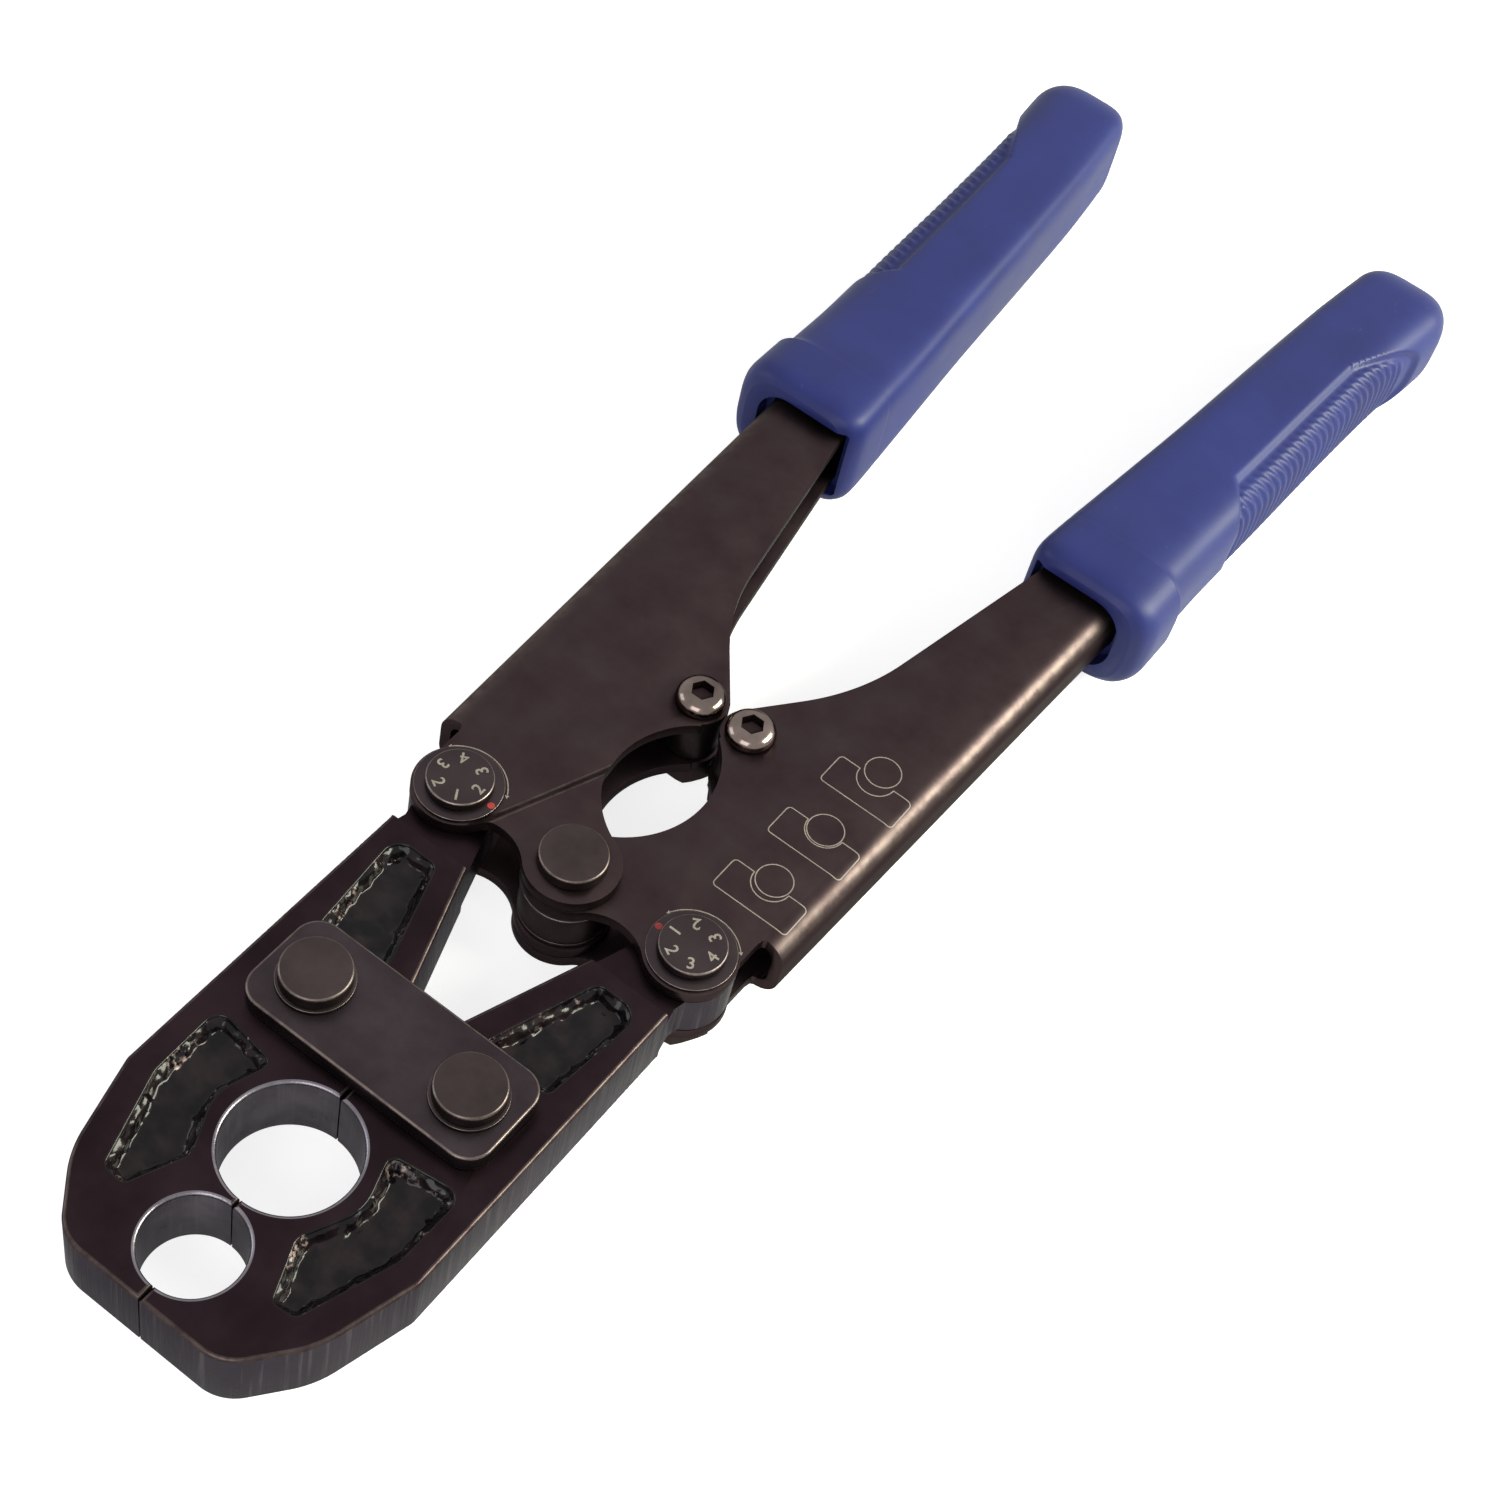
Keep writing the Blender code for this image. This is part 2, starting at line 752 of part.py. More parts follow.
def buildGrip(name, side, material):
    rows = gripSections
    lastRow = rows[-1][0]
    capLength = gripLength - lastRow
    stations = [row[0] for row in rows]
    for edge, slant, inwards in ((panelStart, panelFrontSlant, 1), (panelEnd, panelRearSlant, -1)):
        for back in (0, panelRamp, slant + panelRamp):
            stations.append(edge + inwards * back - gripStart)
    stations = sorted(set(stations)) + [lastRow + capLength * share for share in gripEndStations]
    steps = 24
    layers = []
    for at in stations:
        inner, outer, high = between(rows, min(at, lastRow))
        shrink = 1.0
        if at > lastRow:
            shrink = sqrt(max(0.0, 1 - ((at - lastRow) / capLength) ** 2))
            shrink = max(shrink, gripEndTip)
        lean = max(0.0, at - lastRow) * gripEndLean
        wide = (outer - inner) / 2 * shrink
        tall = high * (gripEndFlatness + (1 - gripEndFlatness) * shrink)
        mid = (inner + outer) / 2 + lean
        y = gripStart + at
        layer = []
        for i in range(steps):
            a = 2 * pi * i / steps
            px = wide * fuller(cos(a), 2 / gripFullness)
            pz = tall * fuller(sin(a), 2 / gripFullness)
            slopeX = fuller(px / wide, gripFullness - 1) / wide
            slopeZ = fuller(pz / tall, gripFullness - 1) / tall
            sink = panelSink(y, atan2(sin(a), cos(a))) / hypot(slopeX, slopeZ)
            layer.append((mid + px - slopeX * sink, y, pz - slopeZ * sink))
        layers.append(layer)
    place = None if side > 0 else mirrorX
    grip = makeObject(name, layered(layers), pivot, material, place)

    def core(front, rear, extra):
        ys = sorted({front, rear} | ({gripMouth} if front < gripMouth < rear else set()))
        web = [(webAt(min(max(y, webStart), handleEnd)) + extra, y) for y in ys]
        inside = [(innerEdgeAt(min(y, handleEnd)) - extra, y) for y in ys]
        return web + inside[::-1]

    for rear, room in ((handleEnd + gap, gripWall), (gripStart + gripMouthDepth, gripMouthRoom)):
        hollow = core(gripStart - over, rear, room)
        cut(grip, [prism(hollow, -handleTop - room, handleTop + room)], place)


# Centre pivot

def buildPivot(pinSteel):
    bore = pivotPinRadius + gap
    headBase = joggledTop + gap
    ringLow = -joggledTop - gap - pivotRingHeight
    buildPin(
        "pivot_pin", pivot, pivotPinRadius, pivotHeadRadius, headBase, pivotHeadHeight,
        -ringLow + pivotPinStub, pinSteel
    )
    washerTop = handleInside - gap
    washerBase = washerTop - pivotWasherThickness
    spacerTop = washerBase - gap
    buildRing("pivot_spacer", pivot, bore, pivotSpacerRadius, -spacerTop, spacerTop, pinSteel, steps=pinSteps)
    buildRing("pivot_washer_top", pivot, bore, pivotSpacerRadius, washerBase, washerTop, pinSteel)
    buildRing("pivot_washer_bottom", pivot, bore, pivotSpacerRadius, -washerTop, -washerBase, pinSteel)
    buildRing(
        "pivot_ring", pivot, bore, pivotHeadRadius, ringLow, ringLow + pivotRingHeight, pinSteel,
        ringChamfer
    )


# Dials

def buildDial(word, side, dialSteel, nutSteel):
    centre = sided(dialPin, side)
    washerLow = handleTop + gap
    headBase = washerLow + dialWasherThickness + gap
    chamfer = dialHeadHeight * dialHeadChamferShare
    lockTop = -handleTop - gap
    nutTop = lockTop - lockWasherThickness - gap
    nutLow = nutTop - lockNutHeight
    camTop = handleInside - gap / 2
    rings = [
        (nutLow - dialStub, dialThreadRadius - dialTipChamfer, 0),
        (nutLow - dialStub + dialTipChamfer, dialThreadRadius, 0),
        (-handleTop, dialThreadRadius, 0),
        (-handleTop, dialJournalRadius, 0),
        (-camTop, dialJournalRadius, 0),
        (-camTop, dialCamRadius, dialCamThrow),
        (camTop, dialCamRadius, dialCamThrow),
        (camTop, dialJournalRadius, 0),
        (headBase, dialJournalRadius, 0),
        (headBase, dialHeadRadius, 0),
        (headBase + dialHeadHeight - chamfer, dialHeadRadius, 0),
        (headBase + dialHeadHeight, dialHeadRadius - chamfer, 0),
    ]
    makeObject("dial_" + word, stackedRings(centre, rings, ringSteps), centre, dialSteel)
    buildRing(
        "dial_washer_" + word, centre, dialJournalRadius + gap, dialWasherRadius, washerLow,
        washerLow + dialWasherThickness, dialSteel
    )
    buildRing(
        "lock_washer_" + word, centre, dialThreadRadius + gap, lockWasherRadius,
        lockTop - lockWasherThickness, lockTop, nutSteel
    )
    body = prism(hexagon(centre, lockNutAcrossFlats), nutLow, nutTop, lockNutChamfer)
    nut = makeObject("lock_nut_" + word, body, centre, nutSteel)
    bore = circle(centre, dialThreadRadius + gap, nutSteps)
    cut(nut, [prism(bore, nutLow - over, nutTop + over)])


# Stops

def buildStop(word, side, screwSteel, nutSteel):
    centre = sided(stopScrew, side)
    headBase = handleTop + gap
    nutTop = -handleTop - gap
    nutLow = nutTop - stopNutHeight
    rings = [
        (nutLow - stopScrewStub, stopScrewRadius, 0),
        (headBase, stopScrewRadius, 0),
        (headBase, stopHeadRadius, 0),
    ]
    steps = 3
    fullest = pi / 2 * stopDomeShare
    for i in range(steps + 1):
        a = fullest * i / steps
        rise = (stopHeadHeight - stopHeadRim) * sin(a) / sin(fullest)
        rings.append((headBase + stopHeadRim + rise, stopHeadRadius * cos(a * stopDomeNarrowing), 0))
    screw = makeObject("stop_screw_" + word, stackedRings(centre, rings, nutSteps), centre, screwSteel)
    top = headBase + stopHeadHeight
    cut(screw, [prism(hexagon(centre, stopSocketAcrossFlats), top - stopSocketDepth, top + over)])
    buildRing(
        "stop_spacer_" + word, centre, stopScrewRadius + gap, stopSpacerRadius, -handleInside + gap,
        handleInside - gap, nutSteel, steps=smallBoreSteps
    )
    body = prism(hexagon(centre, stopNutAcrossFlats), nutLow, nutTop, stopNutChamfer)
    nut = makeObject("stop_nut_" + word, body, centre, nutSteel)
    bore = circle(centre, stopScrewRadius + gap, smallBoreSteps)
    cut(nut, [prism(bore, nutLow - over, nutTop + over)])


def build():
    clearScene()
    blackSteel = makeMaterial("blackened steel", (0.034, 0.026, 0.028), 0.38, 0.85)
    jawSteel = makeMaterial("lacquered forged steel", (0.020, 0.016, 0.018), 0.30, 0.6)
    pinSteel = makeMaterial("blackened pin steel", (0.050, 0.043, 0.041), 0.42, 0.85)
    screwSteel = makeMaterial("gunmetal screw steel", (0.16, 0.17, 0.18), 0.28, 0.95)
    blue = makeMaterial("blue moulded plastic", (0.048, 0.058, 0.22), 0.48, 0.0)
    for word, side in (("left", -1), ("right", 1)):
        buildJaw("jaw_" + word, side, jawSteel)
        buildGrip("grip_" + word, side, blue)
        buildDial(word, side, pinSteel, pinSteel)
        buildStop(word, side, screwSteel, pinSteel)
    buildLinks(blackSteel, pinSteel)
    buildHandles(blackSteel)
    buildPivot(pinSteel)


build()
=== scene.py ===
from math import acos, atan2, copysign, cos, degrees, hypot, pi, radians, sin, sqrt, tan

import bmesh
import bpy
from mathutils import Matrix, Vector, noise


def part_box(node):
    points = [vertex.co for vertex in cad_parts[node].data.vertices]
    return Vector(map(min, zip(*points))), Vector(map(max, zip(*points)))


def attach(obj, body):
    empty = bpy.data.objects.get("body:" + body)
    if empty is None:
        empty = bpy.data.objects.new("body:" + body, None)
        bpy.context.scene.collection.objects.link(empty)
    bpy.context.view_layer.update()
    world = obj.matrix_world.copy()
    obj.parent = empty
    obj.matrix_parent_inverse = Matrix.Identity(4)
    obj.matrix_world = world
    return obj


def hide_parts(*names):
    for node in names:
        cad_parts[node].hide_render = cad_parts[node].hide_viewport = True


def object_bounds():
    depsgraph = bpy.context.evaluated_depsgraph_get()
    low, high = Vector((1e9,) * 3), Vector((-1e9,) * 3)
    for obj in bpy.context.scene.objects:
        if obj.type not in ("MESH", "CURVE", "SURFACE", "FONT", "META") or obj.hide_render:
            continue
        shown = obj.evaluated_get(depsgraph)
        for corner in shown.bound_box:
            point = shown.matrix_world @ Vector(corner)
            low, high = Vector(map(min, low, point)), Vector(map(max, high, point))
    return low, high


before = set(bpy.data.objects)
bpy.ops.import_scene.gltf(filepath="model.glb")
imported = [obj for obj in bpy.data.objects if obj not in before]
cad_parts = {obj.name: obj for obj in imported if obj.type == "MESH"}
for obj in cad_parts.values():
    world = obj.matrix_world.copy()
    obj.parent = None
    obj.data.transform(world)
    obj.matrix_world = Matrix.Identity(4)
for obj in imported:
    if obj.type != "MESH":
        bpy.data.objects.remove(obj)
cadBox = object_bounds()
mm = 0.001
gap = 0.3  # running gap between neighbours, as in the solids
over = 5.0  # how far a cutter reaches past what it cuts


# Places and levels, read from the frame in tool millimetres:
# x to the side, y from the centre pivot to the hands, z from the tool's middle plane
def middleOf(node):
    low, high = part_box(node)
    return (low + high) / 2


toolOrigin = middleOf("pivot_spacer")
toWorld = Matrix.Translation(toolOrigin) @ Matrix.Scale(mm, 4)


def planOf(node):
    place = (middleOf(node) - toolOrigin) / mm
    return (place.x, place.y)


def levelsOf(node):
    low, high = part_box(node)
    return (low.z - toolOrigin.z) / mm, (high.z - toolOrigin.z) / mm


def radiusOf(node):
    low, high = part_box(node)
    return (high.x - low.x) / 2 / mm


pivot = (0.0, 0.0)
linkPin = planOf("link_pin_right")
dialPin = planOf("dial_right")
stopScrew = planOf("stop_screw_right")
jawTop = levelsOf("jaw_right")[1]
handleTop = levelsOf("handle_right")[1]
mirrorX = Matrix.Scale(-1, 4, Vector((1, 0, 0)))
halfTurn = Matrix.Rotation(pi, 4, "Y")
sides = (("left", -1), ("right", 1))


def sided(point, side):
    return (point[0] * side, point[1])


# Curves and outlines
def eased(value, low, high):
    # Rises smoothly from 0 at low to 1 at high
    t = min(1.0, max(0.0, (value - low) / (high - low)))
    return t * t * (3 - 2 * t)


def powered(value, power):
    # A power that keeps the sign
    return copysign(abs(value) ** power, value)


def pointAt(centre, radius, angle):
    return (centre[0] + radius * cos(angle), centre[1] + radius * sin(angle))


def arc(centre, radius, start, end, steps):
    angles = [radians(start + (end - start) * i / steps) for i in range(steps + 1)]
    return [pointAt(centre, radius, a) for a in angles]


def circle(centre, radius, steps):
    return arc(centre, radius, 0, 360, steps)[:-1]


def turned(vector, angle):
    x, y = vector
    return (x * cos(angle) - y * sin(angle), x * sin(angle) + y * cos(angle))


def roundedCorner(before, corner, after, radius, steps):
    # The arc that rounds the corner between its two neighbours
    here = Vector(corner)
    back = (Vector(before) - here).normalized()
    onward = (Vector(after) - here).normalized()
    half = back.angle(onward) / 2
    centre = here + (back + onward).normalized() * radius / sin(half)
    first = here + back * radius / tan(half) - centre
    turn = first.angle_signed(here + onward * radius / tan(half) - centre)
    points = []
    for k in range(steps + 1):
        x, y = turned(first, -turn * k / steps)
        points.append((centre.x + x, centre.y + y))
    return points


def roundedPolygon(corners, steps=10):
    # Corners are (x, y, radius), counter-clockwise
    points = []
    for i, (x, y, radius) in enumerate(corners):
        onward = corners[(i + 1) % len(corners)]
        points += roundedCorner(corners[i - 1][:2], (x, y), onward[:2], radius, steps)
    return points


def rectangle(left, low, right, high, radii, steps):
    # Counter-clockwise from the lower left; radii are of its left and of its right corners
    first, second = radii
    corners = [(left, low, first), (right, low, second), (right, high, second), (left, high, first)]
    return roundedPolygon(corners, steps)


def evenly(points, spacing):
    # Fills the long sides of a closed outline with points
    filled = []
    for i, (x, y) in enumerate(points):
        nextX, nextY = points[(i + 1) % len(points)]
        count = max(1, round(hypot(nextX - x, nextY - y) / spacing))
        for k in range(count):
            filled.append((x + (nextX - x) * k / count, y + (nextY - y) * k / count))
    return filled


def hull(points):
    points = sorted(set(points))

    def half(run):
        chain = []
        for p in run:
            while len(chain) > 1:
                a, b = chain[-2], chain[-1]
                if (b[0] - a[0]) * (p[1] - a[1]) - (b[1] - a[1]) * (p[0] - a[0]) > 1e-6:
                    break
                chain.pop()
            chain.append(p)
        return chain[:-1]

    return half(points) + half(points[::-1])


def inset(points, distance, least=0.35):
    # Moves an outline inwards; least keeps a sharp corner from running far out
    moved = []
    for i, point in enumerate(points):
        here = Vector(point)
        along = (here - Vector(points[i - 1])).normalized()
        onward = (Vector(points[(i + 1) % len(points)]) - here).normalized()
        inwards = Vector((-along.y, along.x))
        side = (inwards + Vector((-onward.y, onward.x))).normalized()
        reach = distance / max(least, side.dot(inwards))
        moved.append((here.x + side.x * reach, here.y + side.y * reach))
    return moved


# Meshes
def linked(rings, ends=True, paint=None):
    # Joins rings of equal point counts; without ends the last ring joins the first.
    # paint gives the material index of the face beside each point of a ring
    shape = bmesh.new()
    verts = [[shape.verts.new(p) for p in ring] for ring in rings]
    count = len(verts[0])
    pairs = list(zip(verts, verts[1:]))
    if not ends:
        pairs.append((verts[-1], verts[0]))
    for low, high in pairs:
        for i in range(count):
            j = (i + 1) % count
            face = shape.faces.new((low[i], low[j], high[j], high[i]))
            if paint:
                face.material_index = paint(i)
    if ends:
        shape.faces.new(verts[0][::-1])
        shape.faces.new(verts[-1])
    return shape


def level(outline, z):
    return [(x, y, z) for x, y in outline]


def prism(outline, low, high, edge=0.0, steps=4, paint=None):
    # A plate with its top and bottom edges rounded
    if not edge:
        return linked([level(outline, low), level(outline, high)], paint=paint)
    lower = []
    upper = []
    for i in range(steps + 1):
        a = pi / 2 * i / steps
        ring = inset(outline, edge * (1 - sin(a)))
        lower.append(level(ring, low + edge * (1 - cos(a))))
        upper.append(level(ring, high - edge * (1 - cos(a))))
    return linked(lower + upper[::-1], paint=paint)


def turnedRings(centre, profile, steps):
    # Rows of the profile are (z, radius) or (z, radius, throw), lowest first
    rings = []
    for z, radius, *throw in profile:
        rings.append(level(circle((centre[0] + sum(throw), centre[1]), radius, steps), z))
    return rings


def lathe(centre, profile, steps=72, bore=None):
    # A turned body; bore makes it a ring
    if bore:
        profile = [(profile[0][0], bore)] + profile + [(profile[-1][0], bore)]
    return linked(turnedRings(centre, profile, steps), ends=not bore)


def roundEdge(z, radius, edge, up, steps=5):
    # Profile points round an outer edge, from the wall to the face when up, else from face to wall
    points = []
    for i in range(steps + 1):
        a = pi / 2 * i / steps
        points.append((z - up * edge * (1 - sin(a)), radius - edge * (1 - cos(a))))
    return points if up > 0 else points[::-1]


def joined(shapes):
    whole = shapes[0]
    for other in shapes[1:]:
        mesh = bpy.data.meshes.new("spare")
        other.to_mesh(mesh)
        other.free()
        whole.from_mesh(mesh)
        bpy.data.meshes.remove(mesh)
    return whole


def looseObject(name, data):
    obj = bpy.data.objects.new(name, data)
    bpy.context.scene.collection.objects.link(obj)
    return obj


def blank(name, shape, materials=(), turn=None):
    # An object of a shape that is given in tool millimetres
    if turn is not None:
        shape.transform(turn)
    shape.normal_update()
    bmesh.ops.recalc_face_normals(shape, faces=shape.faces)
    shape.transform(toWorld)
    mesh = bpy.data.meshes.new(name)
    shape.to_mesh(mesh)
    shape.free()
    for material in materials:
        mesh.materials.append(material)
    return looseObject(name, mesh)


def settle(obj):
    # Applies the object's modifiers
    bpy.context.view_layer.update()
    graph = bpy.context.evaluated_depsgraph_get()
    shown = obj.evaluated_get(graph)
    mesh = bpy.data.meshes.new_from_object(shown, preserve_all_data_layers=True, depsgraph=graph)
    obj.modifiers.clear()
    obj.data = mesh


def carve(obj, cutters, turn=None, material=None):
    # Cuts closed bodies out of a piece; a material of theirs covers the cut
    for shape in cutters:
        tool = blank("cutting_tool", shape, [material] if material else [], turn)
        modifier = obj.modifiers.new("Carve", "BOOLEAN")
        modifier.operation = "DIFFERENCE"
        modifier.solver = "EXACT"
        modifier.object = tool
        if material:
            modifier.material_mode = "TRANSFER"
        settle(obj)
        bpy.data.objects.remove(tool, do_unlink=True)


def markWearAndSheen(mesh, test):
    # Faces that hands and bench rub bright, and faces given painted highlights and painted glints, kept as
    # an attribute for the finishes
    wearAndSheen = mesh.attributes.get("wearAndSheen") or mesh.attributes.new("wearAndSheen", "FLOAT", "CORNER")
    for face in mesh.polygons:
        value = float(test(face))
        for corner in face.loop_indices:
            wearAndSheen.data[corner].value = value


# The upward part of a face's normal: a wall has less than the first, a flat face more than the second
wallTilt = 0.12
flatTilt = 0.985


# Rounded edges, worn bright; their lighter worn colour also serves as a painted highlight along the edges
def slanted(face):
    return face.material_index == 0 and wallTilt < abs(face.normal.z) < flatTilt


def unworn(face):
    return False


def finish(obj, body, nodes=(), smooth=32, wearAndSheen=slanted):
    # Shading, wear and painted highlights, and the frame's bookkeeping for a finished piece
    markWearAndSheen(obj.data, wearAndSheen)
    obj.data.shade_smooth()
    obj.data.set_sharp_from_angle(angle=radians(smooth))
    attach(obj, body)
    if nodes:
        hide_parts(*nodes)


def piece(name, shape, material, body, nodes=(), wearAndSheen=slanted):
    finish(blank(name, shape, [material]), body, nodes, wearAndSheen=wearAndSheen)


# Finishes
def newMaterial(name):
    material = bpy.data.materials.new(name)
    material.use_nodes = True
    return material, material.node_tree, material.node_tree.nodes["Principled BSDF"]


def feed(tree, socket, value):
    # Another node's output, a number or a colour
    if isinstance(value, bpy.types.NodeSocket):
        tree.links.new(value, socket)
    elif isinstance(value, tuple):
        socket.default_value = (*value, 1.0)
    else:
        socket.default_value = value


def plug(tree, node, **values):
    for name, value in values.items():
        feed(tree, node.inputs[name.replace("_", " ")], value)


def mixColour(tree, factor, low, high):
    mix = tree.nodes.new("ShaderNodeMix")
    mix.data_type = "RGBA"
    for index, value in ((0, factor), (6, low), (7, high)):
        feed(tree, mix.inputs[index], value)
    return mix.outputs[2]


def mathNode(tree, operation, a, b, clamp=False):
    node = tree.nodes.new("ShaderNodeMath")
    node.operation = operation
    node.use_clamp = clamp
    feed(tree, node.inputs[0], a)
    feed(tree, node.inputs[1], b)
    return node.outputs[0]


def spread(tree, value, low, high, fromLow=0.0, fromHigh=1.0):
    node = tree.nodes.new("ShaderNodeMapRange")
    plug(tree, node, Value=value, From_Min=fromLow, From_Max=fromHigh, To_Min=low, To_Max=high)
    return node.outputs["Result"]


def newGroup(name, inputs, outputs):
    group = bpy.data.node_groups.new(name, "ShaderNodeTree")
    for socket, value in inputs:
        made = group.interface.new_socket(socket, in_out="INPUT", socket_type="NodeSocketFloat")
        made.default_value = value
    for socket in outputs:
        group.interface.new_socket(socket, in_out="OUTPUT", socket_type="NodeSocketFloat")
    start = group.nodes.new("NodeGroupInput")
    end = group.nodes.new("NodeGroupOutput")
    return group, start, end


def noiseField(tree, scale, detail=3.0, roughness=0.55, stretch=(1, 1, 1)):
    # Noise in the object's own metres; scale is a number or a socket
    place = tree.nodes.new("ShaderNodeTexCoord")
    mapping = tree.nodes.new("ShaderNodeMapping")
    mapping.inputs["Scale"].default_value = stretch
    plug(tree, mapping, Vector=place.outputs["Object"])
    field = tree.nodes.new("ShaderNodeTexNoise")
    plug(tree, field, Vector=mapping.outputs["Vector"], Scale=scale, Detail=detail, Roughness=roughness)
    return field.outputs["Fac"]


def wearAndSheenFactor(tree):
    wearAndSheen = tree.nodes.new("ShaderNodeAttribute")
    wearAndSheen.attribute_name = "wearAndSheen"
    return wearAndSheen.outputs["Fac"]


def makeMottle():
    # Cloudy variation of an oxide or moulded skin, with a fine grain for the bump
    inputs = (("Cloud Scale", 90.0), ("Grain Scale", 2600.0))
    group, start, end = newGroup("mottle", inputs, ("Cloud", "Grain"))
    cloud = noiseField(group, start.outputs["Cloud Scale"], 4.0, 0.6)
    grain = noiseField(group, start.outputs["Grain Scale"], 2.0)
    plug(group, end, Cloud=spread(group, cloud, 0.0, 1.0, 0.3, 0.7), Grain=grain)
    return group


def makeWearAndSheenMask():
    # Edges rubbed bright, their worn colour partly a painted highlight, together with the painted sheen and
    # glints that share the mask, broken up so that the line is not even
    group, start, end = newGroup("edgeWearAndSheen", (("Amount", 0.7), ("Break Scale", 260.0)), ("Mask",))
    broken = noiseField(group, start.outputs["Break Scale"], 3.0, 0.7)
    broken = spread(group, broken, 0.35, 1.0, 0.38, 0.62)
    mask = mathNode(group, "MULTIPLY", wearAndSheenFactor(group), broken)
    plug(group, end, Mask=mathNode(group, "MULTIPLY", mask, start.outputs["Amount"], clamp=True))
    return group


def makeToolMarks():
    # Upright tool marks of a milled or broached wall
    group, start, end = newGroup("toolMarks", (("Mark Scale", 900.0), ("Sparse", 0.55)), ("Height", "Line"))
    marks = noiseField(group, start.outputs["Mark Scale"], 2.5, 0.65, (1, 1, 0.03))
    line = mathNode(group, "SUBTRACT", marks, start.outputs["Sparse"])
    plug(group, end, Height=marks, Line=mathNode(group, "MULTIPLY", line, 8.0, clamp=True))
    return group


mottle = makeMottle()
wearAndSheenMask = makeWearAndSheenMask()
toolMarks = makeToolMarks()


def placeGroup(tree, group, **values):
    node = tree.nodes.new("ShaderNodeGroup")
    node.node_tree = group
    plug(tree, node, **values)
    return node.outputs


def bumpNormal(tree, height, strength, distance):
    bump = tree.nodes.new("ShaderNodeBump")
    plug(tree, bump, Strength=strength, Distance=distance, Height=height)
    return bump.outputs["Normal"]


def darkSteel(name, dark, light, rough, wearAndSheen, wearSheenColour=(0.17, 0.135, 0.12), metallic=0.95, bump=0.25,
              cloudScale=90.0, marks=0.0, rim=0.45):
    # Blackened steel: cloudy oxide, a fine grain, and rubbed edges whose worn colour also paints
    # highlights.
    # marks shows tool marks, rim is how bright it turns at a grazing angle
    material, tree, shader = newMaterial(name)
    skin = placeGroup(tree, mottle, Cloud_Scale=cloudScale)
    # One mask lays the worn colour on worn edges and uses the same colour for painted highlights on edges,
    # on the handles' bend and on the joggle's ramp
    edges = placeGroup(tree, wearAndSheenMask, Amount=wearAndSheen)
    oxide = mixColour(tree, skin["Cloud"], dark, light)
    height = skin["Grain"]
    if marks:
        streaks = placeGroup(tree, toolMarks)
        oxide = mixColour(tree, mathNode(tree, "MULTIPLY", streaks["Line"], marks), oxide, wearSheenColour)
        height = mathNode(tree, "ADD", height, mathNode(tree, "MULTIPLY", streaks["Height"], 5.0))
    plug(
        tree, shader, Base_Color=mixColour(tree, edges["Mask"], oxide, wearSheenColour), Metallic=metallic,
        Roughness=spread(tree, skin["Cloud"], *rough), Specular_Tint=(rim, rim, rim),
        Normal=bumpNormal(tree, height, bump, 0.00004)
    )
    return material


def pocketLacquer():
    # Glossy dark lacquer over lumps, with painted glints: bright flecks on the pockets' walls
    material, tree, shader = newMaterial("pocketLacquer")
    lumps = noiseField(tree, 240.0, 2.0, 0.5)
    patchy = spread(tree, lumps, 0.0, 1.0, 0.4, 0.65)
    skin = mixColour(tree, patchy, (0.003, 0.002, 0.003), (0.013, 0.008, 0.009))
    # Painted glints: light flecks in patches on the pockets' walls, standing in for highlights
    glintFlecks = spread(tree, noiseField(tree, 900.0, 3.0, 0.6), 0.0, 1.0, 0.55, 0.66)
    glintPatches = spread(tree, noiseField(tree, 150.0, 2.0), 0.0, 1.0, 0.5, 0.62)
    paintedGlints = mathNode(tree, "MULTIPLY", glintFlecks, glintPatches, clamp=True)
    paintedGlints = mathNode(tree, "MULTIPLY", paintedGlints, wearAndSheenFactor(tree), clamp=True)
    plug(
        tree, shader, Base_Color=mixColour(tree, paintedGlints, skin, (0.30, 0.22, 0.20)),
        Roughness=spread(tree, noiseField(tree, 1500.0, 2.0), 0.10, 0.22), Specular_IOR_Level=0.18,
        Normal=bumpNormal(tree, lumps, 0.5, 0.0005)
    )
    return material


def bluePlastic():
    # Moulded plastic with a cloudy skin and scuffs along the grip
    material, tree, shader = newMaterial("bluePlastic")
    skin = placeGroup(tree, mottle, Cloud_Scale=38.0, Grain_Scale=1900.0)
    blue = mixColour(tree, skin["Cloud"], (0.016, 0.021, 0.112), (0.022, 0.030, 0.155))
    scuff = spread(tree, noiseField(tree, 620.0, 5.0, 0.7, (1, 0.35, 1)), 0.0, 0.35, 0.66, 0.74)
    plug(
        tree, shader, Base_Color=mixColour(tree, scuff, blue, (0.07, 0.075, 0.19)),
        Roughness=spread(tree, skin["Cloud"], 0.40, 0.50), Specular_IOR_Level=0.24,
        Normal=bumpNormal(tree, skin["Grain"], 0.25, 0.00006)
    )
    return material


def markPaint(name, low, high, rough):
    material, tree, shader = newMaterial(name)
    cloud = placeGroup(tree, mottle, Cloud_Scale=700.0)["Cloud"]
    plug(tree, shader, Base_Color=mixColour(tree, cloud, low, high), Roughness=spread(tree, cloud, *rough))
    return material


